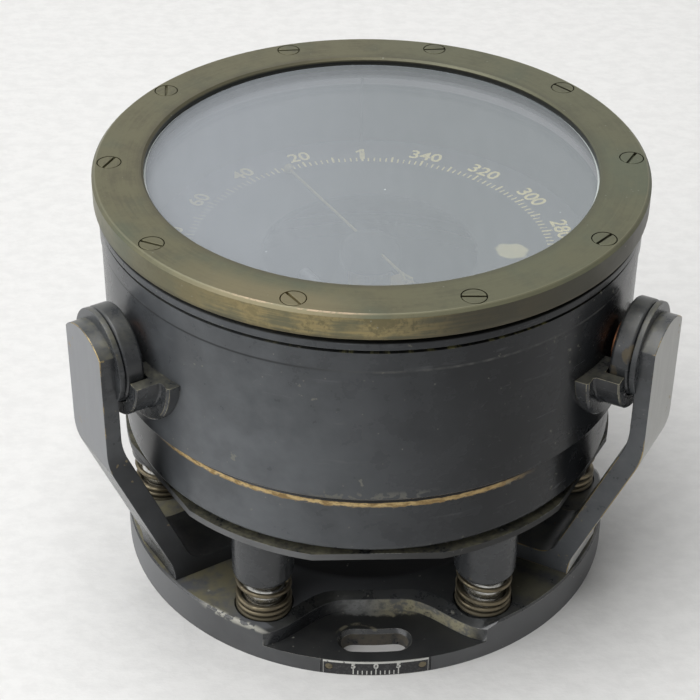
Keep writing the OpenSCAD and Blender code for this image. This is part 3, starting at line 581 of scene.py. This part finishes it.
def patinated_brass(name, dark=0.5):
    """Brass under an even olive tarnish, with green film, stains, a rubbed edge that is partly a
    painted highlight, a painted highlight along the outer edge and painted shade at the right.
    """
    tone = paints()
    f = Finish(name)
    az, r = f.azimuth(), f.radius()
    broad = f.noise(0.02, 3.0, 0.5, twist=0.3)
    patch = f.noise(0.09, 5.0, 0.6)
    fine = f.noise(0.8, 4.0, 0.65)
    brushed = f.noise(1.5, 3.0, 0.6, at=f.point(az * 0.06, r, f.z))
    cloud = patch * 0.5 + fine * 0.2 + brushed * 0.3
    base = f.mix(cloud.ease(0.44, 0.62) * (0.3 + 0.5 * dark), tone.bezel, tone.bezel_dark)
    base = f.mix((broad * 0.7 + patch * 0.3).ease(0.46, 0.62) * 0.7, base, tone.bezel_green)
    base = f.mix(r.ease(64.5, 61.6) * (0.35 + 0.4 * patch), base, tone.bezel_dark)
    side = f.facing_up().ease(0.5, 0.2)
    front = az.between(-52.0, -22.0, 20.0, 42.0)
    stain = side * (patch * 0.6 + brushed * 0.4).ease(0.40, 0.54) * front
    base = f.mix(stain * 0.85, base, tone.bezel_rust)
    tan = (1.0 - side) * az.between(-48.0, -30.0, -14.0, 0.0) * r.ease(64.0, 70.0)
    base = f.mix(tan * (0.25 + 0.4 * patch), base, (0.26, 0.215, 0.12))
    smudge = side * az.between(-46.0, -6.0, 8.0, 36.0) * (patch * 0.6 + fine * 0.4).ease(0.48, 0.58)
    base = f.mix(smudge * 0.55, base, (0.050, 0.054, 0.030))
    # painted shade: the right of the bezel is darker on its side and greener on its top
    shady = f.x.ease(-6.0, 24.0)
    base = f.mix(shady * (0.3 + 0.6 * side), base, f.mix(side, tone.bezel_green, (0.033, 0.030, 0.019)))
    foot = side * (f.z + (patch - 0.5) * 2.0).ease(116.0, 114.9)
    base = f.mix(foot * 0.6, base, tone.bezel_dark)
    left = az.between(-36.0, -24.0, -8.0, 0.0)
    # painted highlight: a pale line along the top of the outer rounding, all round
    line = (r > 73.9) * (r < 74.35) * f.z.ease(121.2, 121.4)
    base = f.mix(line * 0.5, base, (0.21, 0.20, 0.13))
    # rubbed brass at the front-left of that line, which also serves as a painted highlight
    rubbed = line * left * (patch * 0.5 + fine * 0.5).ease(0.42, 0.54)
    base = f.mix(rubbed, base, tone.bezel_rose)
    glint = f.worn() * (r < 62.2) * az.between(-50.0, -36.0, -10.0, 2.0) * (f.z > 121.3)
    base = f.mix(glint * 0.9, base, (0.9, 0.9, 0.84))
    specks = f.cells(0.35).ease(0.10, 0.05) * patch.ease(0.5, 0.58)
    base = f.mix(specks * 0.6, base, (0.26, 0.26, 0.21))
    wall = f.facing_out().ease(-0.5, -0.8) * (r < 62.0) * f.z.ease(121.0, 120.6)
    base = f.mix(wall, base, (0.012, 0.012, 0.010))
    f.set("Metallic", 0.45 + rubbed * 0.3)
    return f.done(base, 0.30 + 0.18 * patch + 0.06 * fine, fine * 0.5 + brushed * 0.5, 0.00004)


def dull_metal(name, tone, dark=(0.05, 0.045, 0.035), grime=0.5, rough=0.4, bottom_dark=0.0):
    """Bare metal with grime in patches, and darker towards the bottom where bottom_dark is given."""
    f = Finish(name)
    patch = f.noise(0.2, 4.0, 0.55)
    fine = f.noise(1.6, 3.0, 0.6)
    dirt = (patch * 0.75 + fine * 0.25).ease(0.42, 0.66) * grime
    if bottom_dark:
        dirt = dirt | f.z.ease(15.0, 10.5) * bottom_dark
    f.set("Metallic", 1.0 - dirt * 0.6)
    return f.done(f.mix(dirt, tone, dark), rough + dirt * 0.35 + fine * 0.06, fine, 0.00003)


def luminous_paint(name, bright=1.0):
    """Old luminous paint, grainy, patchy and faint at the left, with a faint painted glow."""
    tone = [c * bright for c in paints().luminous]
    f = Finish(name)
    grain = f.noise(1.4, 4.0, 0.65)
    faint = f.x.ease(-16.0, -42.0) * 0.75
    base = f.mix(grain.ease(0.4, 0.7) | faint, tone, [c * 0.45 for c in tone])
    # painted glow: the paint emits a little light, less at the left
    f.set("Emission Color", f.mix(faint, tone, (0.05, 0.05, 0.04)))
    f.set("Emission Strength", 0.12 * bright)
    return f.done(base, 0.7 + grain * 0.15, grain, 0.00004)


def dial_face(name):
    """Black dial with a ring of ticks and a luminous patch at the right."""
    tone = paints()
    f = Finish(name)
    grain = f.noise(0.7, 4.0, 0.6)
    r, az = f.radius(), f.azimuth()
    step = abs((az + 361.0) % 2.0 - 1.0)
    ten = abs((az + 365.0) % 10.0 - 5.0)
    fine_ticks = (step * r * DEGREE < 0.22) * (r > 49.7) * (r < 51.8)
    long_ticks = (ten * r * DEGREE < 0.32) * (r > 49.7) * (r < 52.8)
    bar = (abs(f.x) < 0.75) * (f.y > 51.2) * (f.y < 57.2)
    flag = (f.x < 0.0) * (f.x > -1.9) * (abs(f.y - 56.4 - f.x * 0.5) < 0.55)
    dx, dy = f.x - 39.5, f.y + 1.5
    ragged = (dx * dx + dy * dy * 1.4).calc("SQRT") + f.noise(0.25) * 3.0
    patch = ragged.ease(6.6, 5.2)
    marks = fine_ticks | long_ticks | bar | flag
    base = f.mix(r.ease(48.6, 50.2), (0.017, 0.019, 0.0195), (0.043, 0.045, 0.049))
    faint = 1.0 - 0.75 * f.x.ease(-16.0, -42.0)
    base = f.mix(marks * grain.ease(0.28, 0.44) * 0.9 * faint, base, tone.luminous)
    return f.done(f.mix(patch * 0.9, base, (0.62, 0.56, 0.28)), 0.65 + grain * 0.15)


def lining_wall(name):
    """Chamber wall: dark below, with a pale mauve band under the window."""
    tone = paints()
    f = Finish(name)
    soft = f.noise(0.08, 4.0, 0.6)
    band = (f.z + soft * 0.4).ease(112.5, 113.0)
    dark = f.mix(soft.ease(0.4, 0.65), (0.032, 0.035, 0.038), (0.055, 0.058, 0.06))
    return f.done(f.mix(band, dark, tone.lining), 0.5 + soft * 0.2)


def scale_enamel(name):
    """Black azimuth scale with a white border and eleven ticks."""
    tone = paints()
    f = Finish(name)
    grain = f.noise(1.2, 4.0, 0.6)
    az = f.azimuth()
    beat = abs((az + 360.5) % 1.0 - 0.5)
    ticks = (beat < 0.12) * (abs(az) < 5.3) * (f.z > 0.3) * (f.z < 1.75)
    fives = abs((az + 362.5) % 5.0 - 2.5)
    long_ticks = (fives < 0.13) * (abs(az) < 5.3) * (f.z > 0.3) * (f.z < 2.35)
    border = (f.z > 4.35) * (abs(az) < 11.75) | (abs(az) > 11.6) * (abs(az) < 11.75) * 0.6
    chipped = (grain * 0.6 + f.noise(0.4) * 0.4).ease(0.32, 0.4)
    marks = (ticks | long_ticks | border) * chipped
    base = f.mix(grain.ease(0.45, 0.7), (0.018, 0.018, 0.02), (0.05, 0.05, 0.05))
    return f.done(f.mix(marks, base, tone.white), 0.45 + grain * 0.2, grain, 0.00003)


def scale_white(name):
    """White numerals of the azimuth scale, a little dirty."""
    white = paints().white
    f = Finish(name)
    grain = f.noise(2.0, 3.0)
    base = f.mix(grain.ease(0.4, 0.7), white, [c * 0.7 for c in white])
    return f.done(base, 0.6 + grain * 0.1)


def window_film(name):
    """Glass with a pale film that partly stands for the room's reflection as painted reflection,
    heavier at the left and in soft streaks, and a bright ground edge.
    """
    tone = paints()
    f = Finish(name)
    broad = f.noise(0.02, 3.0)
    streak = f.noise(0.35, 3.0, 0.6, at=f.point(f.x + f.y * 0.12, f.y * 0.22, 0.0))
    bits = f.cells(0.09).ease(0.035, 0.015) * broad.ease(0.45, 0.55)
    ground = f.worn()
    # painted reflection: the film is fuller and the veil heavier at the left
    left = f.x.ease(30.0, -50.0)
    film = f.mix(left, [c * k for c, k in zip(tone.haze, (0.94, 0.95, 0.92))], tone.haze)
    base = f.mix(ground | bits, film, (0.74, 0.80, 0.77))
    veil = 0.275 + broad * 0.03 + (streak - 0.5) * 0.07 + left * 0.045
    f.set("Alpha", veil + ground * 0.45 + bits * 0.3)
    f.set("IOR", 1.9)
    return f.done(base, 0.05 + streak * 0.04)


def matt_paint(name, tone, rough):
    """Dull paint or rubber with a fine grain."""
    f = Finish(name)
    grain = f.noise(0.25, 4.0, 0.6)
    fine = f.noise(1.6, 3.0)
    cloud = (grain * 0.6 + fine * 0.4).ease(0.38, 0.66)
    base = f.mix(cloud, tone, [c * 0.78 for c in tone])
    return f.done(base, rough + grain * 0.15, fine, 0.00004)


def pale_board(name):
    """Pale foam board with fine beads."""
    pale = bpy.context.scene.compass_stage.floor
    f = Finish(name)
    beads = f.cells(0.30)
    stretched = f.add("ShaderNodeMapping", {}, {0: f.place, "Scale": (0.8, 1.15, 1.0)})
    grain = f.noise(0.16, 5.0, 0.65, at=stretched)
    base = f.mix(grain.ease(0.36, 0.66), pale, [c * 0.94 for c in pale])
    return f.done(base, 0.7, beads * 0.4 + grain, 0.0006, strength=0.35)


# Modelling


def near(az, radius=0.0):
    """The place at an azimuth and radius, with +X pointing outwards."""
    return Matrix.Rotation(math.radians(az - 90), 4, "Z") @ Matrix.Translation((radius, 0, 0))


def hard_edges(bm, sharp):
    """Outer edges that turn more sharply than an angle."""
    bm.normal_update()
    least = math.radians(sharp)
    return [e for e in bm.edges if e.is_manifold and e.calc_face_angle_signed(0.0) > least]


def soften(bm, width, sharp=32, segments=2, where=None):
    """Rounds the outer edges and marks the rounding for wear."""
    mark = bm.faces.layers.float.get("edge") or bm.faces.layers.float.new("edge")
    hard = hard_edges(bm, sharp)
    if where:
        hard = [e for e in hard if where((e.verts[0].co + e.verts[1].co) / 2)]
    made = bmesh.ops.bevel(
        bm, geom=hard, offset=width, offset_type="OFFSET", segments=segments, profile=0.5,
        affect="EDGES", clamp_overlap=True, material=-1,
    )
    for face in made["faces"]:
        face[mark] = 1.0


def node_copy(node):
    """A merged copy of a CAD node's mesh, with flat stretches made whole."""
    bm = bmesh.new()
    bm.from_mesh(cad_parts[node].data)
    bmesh.ops.remove_doubles(bm, verts=bm.verts, dist=CAD_MERGE)
    bmesh.ops.dissolve_limit(
        bm, angle_limit=math.radians(FLAT_ANGLE), use_dissolve_boundaries=False, verts=bm.verts,
        edges=bm.edges, delimit=set(),
    )
    return bm


def stand(bm, name, body, material, replaces=(), flat_first=True):
    """Makes a bmesh a piece that rides on a body, with large flat faces shaded flat if asked."""
    mesh = bpy.data.meshes.new(name)
    bm.to_mesh(mesh)
    bm.free()
    mesh.shade_smooth()
    mesh.set_sharp_from_angle(angle=math.radians(SHARP_ANGLE))
    mesh.materials.append(material)
    piece = bpy.data.objects.new(name, mesh)
    bpy.context.scene.collection.objects.link(piece)
    if flat_first:
        even = piece.modifiers.new("even_shading", "WEIGHTED_NORMAL")
        even.keep_sharp = True
    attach(piece, body)
    if replaces:
        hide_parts(*replaces)
    return piece


def reworked(node, name, body, material, width, segments=2):
    """A CAD node again, with rounded edges."""
    bm = node_copy(node)
    soften(bm, width, segments=segments)
    stand(bm, name, body, material, [node])


def paint_nodes(material, *nodes):
    """Gives CAD nodes a finish of their own."""
    for node in nodes:
        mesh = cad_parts[node].data
        mesh.materials.clear()
        mesh.materials.append(material)


def coil(radius, wire, foot, head, turns, foot_turns, head_turns):
    """A left-hand compression spring: closed turns at both ends and an open pitch between them."""
    rings, sides = 40, 12
    low, high = foot + wire + WIRE_GAP, head - wire - WIRE_GAP
    closed = 2 * wire * CLOSED_PITCH
    open_turns = turns - foot_turns - head_turns
    pitch = (high - low - (foot_turns + head_turns) * closed) / open_turns
    bm = bmesh.new()
    start = Matrix.Translation((-radius, 0, low)) @ Matrix.Rotation(math.radians(90), 4, "X")
    bmesh.ops.create_circle(bm, segments=sides, radius=wire, cap_ends=False, matrix=start)
    last = bm.verts[:] + bm.edges[:]
    for count, rise in ((foot_turns, closed), (open_turns, pitch), (head_turns, closed)):
        spun = bmesh.ops.spin(
            bm, geom=last, cent=(0, 0, 0), axis=(0, 0, -1), dvec=(0, 0, rise / rings),
            angle=math.radians(360 * count), steps=round(rings * count), use_merge=False,
            use_duplicate=False,
        )
        last = [g for g in spun["geom_last"] if not isinstance(g, bmesh.types.BMFace)]
    bmesh.ops.remove_doubles(bm, verts=bm.verts, dist=SPIN_MERGE)
    bmesh.ops.holes_fill(bm, edges=[e for e in bm.edges if e.is_boundary], sides=0)
    bmesh.ops.recalc_face_normals(bm, faces=bm.faces)
    return bm


def turned(outline, rounded=(), steps=240):
    """Spins a closed outline of radius and height, in millimetres, with some corners rounded."""
    edge = bpy.context.scene.compass_sizes.edge
    bm = bmesh.new()
    corners = [bm.verts.new((r * MM, 0, z * MM)) for r, z in outline]
    for here, ahead in zip(corners, corners[1:] + corners[:1]):
        bm.edges.new((here, ahead))
    bmesh.ops.bevel(
        bm, geom=[corners[i] for i in rounded], offset=edge, offset_type="OFFSET", segments=3,
        profile=0.5, affect="VERTICES", clamp_overlap=True, material=-1,
    )
    bmesh.ops.spin(
        bm, geom=bm.verts[:] + bm.edges[:], cent=(0, 0, 0), axis=(0, 0, 1), angle=math.tau,
        steps=steps, use_merge=True,
    )
    bmesh.ops.remove_doubles(bm, verts=bm.verts, dist=SPIN_MERGE)
    bmesh.ops.recalc_face_normals(bm, faces=bm.faces)
    return bm


def lettering(bm, text, height, place, bold=0.022):
    """Adds flat text to a bmesh."""
    curve = bpy.data.curves.new("lettering", "FONT")
    curve.body = text
    curve.size = height * TEXT_SIZE
    curve.align_x = "CENTER"
    curve.align_y = "CENTER"
    curve.extrude = TEXT_DEPTH
    curve.offset = height * bold
    holder = bpy.data.objects.new("lettering", curve)
    bpy.context.scene.collection.objects.link(holder)
    bpy.context.view_layer.update()
    shaped = holder.evaluated_get(bpy.context.evaluated_depsgraph_get())
    mesh = bpy.data.meshes.new_from_object(shaped)
    mesh.transform(place)
    bm.from_mesh(mesh)
    bpy.data.objects.remove(holder)
    bpy.data.curves.remove(curve)
    bpy.data.meshes.remove(mesh)


# Pieces


class PieceOperator:
    bl_options = {"REGISTER", "UNDO"}


class COMPASS_OT_base(PieceOperator, bpy.types.Operator):
    """Base casting with its pockets, slots and spring seats"""

    bl_idname = "compass.base"
    bl_label = "Base"

    def execute(self, context):
        tone = context.scene.compass_paint
        sizes = context.scene.compass_sizes
        paint = worn_paint(
            "base_paint", dusty=0.1, rubbed=0.3, chipped=0.8, bare=tone.primer, spare=base_edges,
            gloss=0.65, marks=(
                rim_grey, plateau_rub, deep_well, ledge_film, pocket_floor, pocket_wear, washer_mark,
                rim_chips,
            ),
        )
        seats = [near(az, sizes.spring_circle).to_translation() for az in SPRING_AZIMUTHS]
        seat_reach, plateau, inner, outer = 0.0095, 0.0085, 0.046, 0.0695

        def by_pocket(at):
            clear = all((at.xy - seat.xy).length > seat_reach for seat in seats)
            return clear and at.z > plateau and inner < at.xy.length < outer

        bm = node_copy("base_casting")
        soften(bm, width=0.001, sharp=20, segments=4, where=by_pocket)
        soften(bm, sizes.edge, where=lambda at: not by_pocket(at))
        stand(bm, "base_body", "base", paint, ["base_casting"])
        paint_nodes(dull_metal("screw_steel", (0.26, 0.23, 0.17), grime=0.7), "arm_screws")
        return {"FINISHED"}


class COMPASS_OT_scale(PieceOperator, bpy.types.Operator):
    """Azimuth scale in the front of the rim, with its numerals and screws"""

    bl_idname = "compass.scale"
    bl_label = "Azimuth scale"

    def execute(self, context):
        sizes = context.scene.compass_sizes
        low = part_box("scale_plate")[0]
        enamel = scale_enamel("scale_enamel")
        reworked("scale_plate", "scale_strip", "base", enamel, FINE_EDGE)
        turn = math.radians(90)
        upright = Matrix.Rotation(turn, 4, "Z") @ Matrix.Rotation(turn, 4, "X")
        lift = Matrix.Translation((0, 0, low.z + SCALE_TEXT_LIFT))
        bm = bmesh.new()
        for text, az in (("5", -5), ("0", 0), ("5", 5)):
            spot = near(az, TEXT_GAP - low.y) @ lift @ upright
            lettering(bm, text, sizes.scale_numeral, spot, bold=0.065)
        white = scale_white("scale_white")
        stand(bm, "scale_numerals", "base", white, flat_first=False)
        screw = dull_metal("scale_screw", (0.22, 0.19, 0.13), dark=(0.02, 0.017, 0.012), grime=1.0)
        reworked("scale_plate_screws", "scale_screw_heads", "base", screw, FINE_EDGE)
        return {"FINISHED"}


class COMPASS_OT_arms(PieceOperator, bpy.types.Operator):
    """Three bent arms, with the discs and studs on them"""

    bl_idname = "compass.arms"
    bl_label = "Arms and discs"

    def execute(self, context):
        edge = context.scene.compass_sizes.edge
        tone = context.scene.compass_paint
        paint = worn_paint(
            "arm_paint", dusty=0.3, rubbed=0.6, chipped=0.7, spare=arm_edges,
            marks=(kept_paint, rubbed_faces, boss_dust),
        )
        disc_paint = worn_paint(
            "disc_paint", dusty=0.2, rubbed=0.4, chipped=0.1, marks=(disc_wear,), spare=arm_edges
        )
        for side in ARM_SIDES:
            reworked(f"arm_{side}", f"arm_body_{side}", "base", paint, edge * 0.8)
            reworked(f"disc_{side}", f"disc_body_{side}", "base", disc_paint, edge)
        dark = (0.06, 0.03, 0.018)
        copper = dull_metal("stud_copper", tone.copper, dark, grime=0.8, rough=0.5)
        reworked("disc_studs", "stud_heads", "base", copper, edge)
        return {"FINISHED"}


class COMPASS_OT_springs(PieceOperator, bpy.types.Operator):
    """Six coil springs on their guide pins"""

    bl_idname = "compass.springs"
    bl_label = "Springs"

    def execute(self, context):
        sizes = context.scene.compass_sizes
        tone = context.scene.compass_paint
        bronze = dull_metal(
            "spring_bronze", tone.bronze, (0.07, 0.06, 0.038), grime=0.7, rough=0.32, bottom_dark=0.9
        )
        bright = dull_metal("guide_steel", tone.steel, (0.2, 0.19, 0.15), grime=0.3, rough=0.14)
        for number, az in enumerate(SPRING_AZIMUTHS, 1):
            bm = coil(
                sizes.spring, sizes.wire, sizes.spring_foot, sizes.spring_head, turns=4.25,
                foot_turns=2.5, head_turns=0.5,
            )
            bmesh.ops.transform(bm, matrix=near(az, sizes.spring_circle), verts=bm.verts)
            piece = stand(
                bm, f"spring_coil_{number}", "base", bronze, [f"spring_{number}"],
                flat_first=False,
            )
            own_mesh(piece)
        reworked("spring_guides", "guide_pins", "base", bright, sizes.edge)
        return {"FINISHED"}


class COMPASS_OT_bowl(PieceOperator, bpy.types.Operator):
    """Bowl case, lower bowl, suspension plate and spring cups"""

    bl_idname = "compass.bowl"
    bl_label = "Bowl"

    def execute(self, context):
        edge = context.scene.compass_sizes.edge
        chip = context.scene.compass_paint.chip
        case = worn_paint(
            "case_paint", dusty=0.3, rubbed=0.6, chipped=0.7, bare=chip, lit_left=0.85, gloss=0.2,
            marks=(
                # the mark at 113.0 is painted shadow under the bezel; the one at 109.95 is dirt and
                # painted shade in the groove
                step_line, groove_dirt(109.95, 110.95, 0.8), groove_dirt(113.0, 114.7, 0.0), low_chips,
            ),
        )
        lower = worn_paint(
            "lower_paint", dusty=0.5, rubbed=0.6, chipped=0.6, bare=chip, lit_left=0.85, gloss=0.2,
            # the mark at 60.2 is painted shadow under the case's lower edge
            marks=(groove_dirt(60.2, 63.2, 0.0), rubbed_strip, chamber_floor),
        )
        plate = worn_paint(
            "plate_paint", dusty=0.9, rubbed=0.2, chipped=0.45, bare=(0.30, 0.30, 0.29),
            marks=(sheet_edge,),
        )
        cup = worn_paint("cup_paint", dusty=0.3, rubbed=0.25, chipped=0.2, gloss=0.5)
        wall = [
            (64, 63.4), (72.7, 63.4), (73.5, 64.2), (73.5, 104.1), (73.8, 104.6), (73.8, 110.0),
            (72.9, 110.1), (72.9, 110.8), (74.2, 111.0), (74.2, 113.2),
            (72.5, 113.2), (72.5, 114.6), (66, 114.6), (66, 92), (64, 92),
        ]
        stand(turned(wall, (2, 8, 9)), "case_shell", "bowl", case, ["bowl_case"])
        reworked("lower_bowl", "lower_shell", "bowl", lower, edge)
        reworked("suspension_plate", "plate_sheet", "bowl", plate, edge)
        for number in range(1, 7):
            reworked(f"spring_cup_{number}", f"cup_shell_{number}", "bowl", cup, edge)
        paint_nodes(dull_metal("plate_screw_steel", (0.24, 0.22, 0.17), grime=0.7), "plate_screws")
        rubber = matt_paint("gasket_rubber", (0.012, 0.012, 0.013), 0.7)
        paint_nodes(rubber, "joint_gasket", "filler_washer")
        paint_nodes(dull_metal("plug_brass", (0.3, 0.25, 0.14), grime=0.7), "filler_plug")
        return {"FINISHED"}


class COMPASS_OT_cradles(PieceOperator, bpy.types.Operator):
    """Half-round cradles that hug the discs from below"""

    bl_idname = "compass.cradles"
    bl_label = "Cradles"

    def execute(self, context):
        edge = context.scene.compass_sizes.edge
        paint = worn_paint("cradle_paint", dusty=0.4, rubbed=0.4, chipped=1.0, bare=(0.27, 0.25, 0.18))
        for side in ARM_SIDES:
            reworked(f"cradle_{side}", f"cradle_body_{side}", "bowl", paint, edge * 1.8)
        return {"FINISHED"}


class COMPASS_OT_bezel(PieceOperator, bpy.types.Operator):
    """Brass bezel and its slotted screws"""

    bl_idname = "compass.bezel"
    bl_label = "Bezel"

    def execute(self, context):
        rim, top, foot = 0.0735, 0.1205, 0.116
        bm = node_copy("bezel_ring")
        soften(
            bm, width=0.00062, sharp=20, segments=4,
            where=lambda at: at.xy.length > rim and at.z > top,
        )
        soften(bm, width=0.0002, where=lambda at: at.xy.length < rim or at.z < foot)
        stand(bm, "bezel_body", "bowl", patinated_brass("bezel_patina"), ["bezel_ring"])
        screws = patinated_brass("bezel_screw_patina", dark=1.0)
        bm = node_copy("bezel_screws")
        for az in SCREW_AZIMUTHS:
            middle = near(az, SCREW_CIRCLE).to_translation()
            head = [v for v in bm.verts if (v.co.xy - middle.xy).length < SCREW_REACH]
            bmesh.ops.scale(bm, vec=SCREW_SCALE, space=Matrix.Translation(-middle), verts=head)
        soften(bm, FINE_EDGE)
        stand(bm, "bezel_screw_heads", "bowl", screws, ["bezel_screws"])
        return {"FINISHED"}


class COMPASS_OT_dial(PieceOperator, bpy.types.Operator):
    """Window glass, lining, dial and numerals"""

    bl_idname = "compass.dial"
    bl_label = "Dial"

    def execute(self, context):
        sizes = context.scene.compass_sizes
        tone = context.scene.compass_paint
        reworked("dial_ring", "dial_plate", "bowl", dial_face("dial_face"), FINE_EDGE)
        lining = lining_wall("lining_paint")
        reworked("chamber_lining", "lining_wall", "bowl", lining, FINE_EDGE)
        bm = bmesh.new()
        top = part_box("dial_ring")[1].z + TEXT_GAP
        upright = Matrix.Rotation(math.radians(-90), 4, "Z")
        for degrees in range(20, 360, 20):
            spot = near(180 + degrees, sizes.numeral_circle) @ Matrix.Translation((0, 0, top))
            lettering(bm, str(degrees), sizes.numeral, spot @ upright)
        numerals = luminous_paint("numeral_paint")
        stand(bm, "dial_numerals", "bowl", numerals, flat_first=False)
        low, high = (corner.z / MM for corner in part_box("window_glass"))
        step = high - PANE_STEP / MM
        outline = [(0.01, low), (65.2, low), (65.2, step), (61.3, step), (60.75, high), (0.01, high)]
        bm = turned(outline, steps=160)
        mark = bm.faces.layers.float.new("edge")
        ground_in, ground_out, ground_rise = 0.0607, 0.0614, 0.3
        for face in bm.faces:
            reach = face.calc_center_median().xy.length
            face[mark] = float(ground_in < reach < ground_out and face.normal.z > ground_rise)
        stand(bm, "window_pane", "bowl", window_film("window_film"), ["window_glass"])
        paint_nodes(matt_paint("chamber_black", (0.02, 0.021, 0.023), 0.6), "lubber_line")
        paint_nodes(matt_paint("window_rubber", (0.16, 0.145, 0.155), 0.7), "glass_gasket")
        brass = dull_metal("inner_brass", (0.4, 0.32, 0.15), grime=0.4)
        paint_nodes(brass, "expansion_diaphragm", "diaphragm_clamp", "pivot_post")
        paint_nodes(dull_metal("tip_steel", tone.steel, grime=0.2, rough=0.25), "pivot_tip")
        return {"FINISHED"}


class COMPASS_OT_needle(PieceOperator, bpy.types.Operator):
    """Pivoted needle: float, pointer, bead and magnets"""

    bl_idname = "compass.needle"
    bl_label = "Needle"

    def execute(self, context):
        black = matt_paint("float_black", (0.004, 0.005, 0.004), 0.8)
        reworked("float_hub", "float_body", "needle", black, width=0.0002, segments=3)
        pale = luminous_paint("pointer_paint", 0.34)
        bm = node_copy("pointer")
        along = near(POINTER_AZIMUTH).inverted()
        bmesh.ops.scale(bm, vec=POINTER_SCALE, space=along, verts=bm.verts)
        soften(bm, width=0.00006)
        stand(bm, "pointer_wire", "needle", pale, ["pointer"])
        reworked("pointer_bead", "pointer_tip", "needle", pale, width=0.00008)
        paint_nodes(dull_metal("carrier_brass", (0.36, 0.29, 0.14), grime=0.4), "magnet_carrier")
        paint_nodes(dull_metal("magnet_steel", (0.25, 0.26, 0.27), grime=0.4), "magnets")
        paint_nodes(matt_paint("jewel_red", (0.25, 0.05, 0.06), 0.2), "jewel_cup")
        return {"FINISHED"}


class COMPASS_OT_stage(PieceOperator, bpy.types.Operator):
    """Pale board, soft light and the camera"""

    bl_idname = "compass.stage"
    bl_label = "Stage"

    def execute(self, context):
        stage = context.scene.compass_stage
        bm = bmesh.new()
        bmesh.ops.create_grid(bm, x_segments=4, y_segments=4, size=2.5)
        mesh = bpy.data.meshes.new("board")
        bm.to_mesh(mesh)
        bm.free()
        mesh.materials.append(pale_board("board_foam"))
        board = bpy.data.objects.new("board", mesh)
        context.scene.collection.objects.link(board)

        self.lamp(context, "window", stage.key, WINDOW_SIZE, WINDOW_SPOT)
        self.lamp(context, "ceiling", stage.top, CEILING_SIZE, CEILING_SPOT)
        self.room(context, stage)
        self.camera(context, stage)
        context.scene.view_settings.view_transform = "Standard"
        return {"FINISHED"}

    def camera(self, context, stage):
        """A camera where the photograph was taken from."""
        data = bpy.data.cameras.new("photo_camera")
        data.lens = stage.lens
        data.sensor_width = SENSOR_WIDTH
        data.clip_start, data.clip_end = 0.01, 20.0
        camera = bpy.data.objects.new("photo_camera", data)
        context.scene.collection.objects.link(camera)
        back = Vector(CAMERA_BACK).normalized()
        side = Vector(CAMERA_SIDE).normalized()
        side = (side - back * side.dot(back)).normalized()
        rise = back.cross(side)
        roll = math.radians(CAMERA_ROLL)
        right = side * math.cos(roll) - rise * math.sin(roll)
        up = side * math.sin(roll) + rise * math.cos(roll)
        turn = Matrix((right, up, back)).transposed().to_4x4()
        camera.matrix_world = Matrix.Translation(CAMERA_SPOT) @ turn
        context.scene.camera = camera

    def room(self, context, stage):
        """A soft sky for the light, and a pale room for the camera, gloss and glass to see."""
        world = bpy.data.worlds.new("room")
        context.scene.world = world
        world.use_nodes = True
        nodes = NodeTree(world.node_tree)
        path = nodes.add("ShaderNodeLightPath", whole=True)
        rays = ("Is Camera Ray", "Is Glossy Ray", "Is Transmission Ray")
        camera, glossy, through = (Signal(nodes, path.outputs[ray]) for ray in rays)
        sockets = {"Value": camera | glossy | through, "To Min": stage.sky, "To Max": stage.wall}
        strength = nodes.add("ShaderNodeMapRange", {}, sockets)
        across = nodes.split(nodes.add("ShaderNodeTexCoord", out="Generated"))[0]
        sockets = {"Value": across, "From Min": -0.8, "From Max": 0.9}
        dim = nodes.add("ShaderNodeMapRange", {}, sockets)
        sky = world.node_tree.nodes["Background"]
        nodes.feed(sky.inputs["Color"], nodes.mix(dim, BRIGHT_SIDE, DIM_SIDE))
        nodes.feed(sky.inputs["Strength"], strength)

    def lamp(self, context, name, power, size, spot):
        """A soft square lamp that points at the compass."""
        data = bpy.data.lights.new(name, "AREA")
        data.energy = power
        data.size = size
        lamp = bpy.data.objects.new(name, data)
        lamp.location = spot
        aim = Vector(LAMP_AIM) - Vector(spot)
        lamp.rotation_euler = aim.to_track_quat("-Z", "Y").to_euler()
        context.scene.collection.objects.link(lamp)


PIECE_OPERATORS = (
    COMPASS_OT_base, COMPASS_OT_scale, COMPASS_OT_arms, COMPASS_OT_springs, COMPASS_OT_bowl,
    COMPASS_OT_cradles, COMPASS_OT_bezel, COMPASS_OT_dial, COMPASS_OT_needle, COMPASS_OT_stage,
)
SETTINGS = {
    "compass_paint": CompassPaint, "compass_sizes": CompassSizes, "compass_stage": CompassStage,
}


class COMPASS_PT_panel(bpy.types.Panel):
    """Lists the pieces of the compass and its settings"""

    bl_idname = "COMPASS_PT_panel"
    bl_label = "Aircraft Compass"
    bl_space_type = "VIEW_3D"
    bl_region_type = "UI"
    bl_category = "Compass"

    def draw(self, context):
        for operator in PIECE_OPERATORS:
            self.layout.operator(operator.bl_idname)
        for setting in SETTINGS:
            group = getattr(context.scene, setting)
            box = self.layout.box()
            for name in group.__annotations__:
                box.prop(group, name)


CLASSES = (*SETTINGS.values(), *PIECE_OPERATORS, COMPASS_PT_panel)


def register():
    for each in CLASSES:
        bpy.utils.register_class(each)
    for name, group in SETTINGS.items():
        setattr(bpy.types.Scene, name, bpy.props.PointerProperty(type=group))


def unregister():
    for name in SETTINGS:
        delattr(bpy.types.Scene, name)
    for each in reversed(CLASSES):
        bpy.utils.unregister_class(each)


def main():
    register()
    for operator in PIECE_OPERATORS:
        group, name = operator.bl_idname.split(".")
        getattr(getattr(bpy.ops, group), name)()


if __name__ == "__main__":
    main()
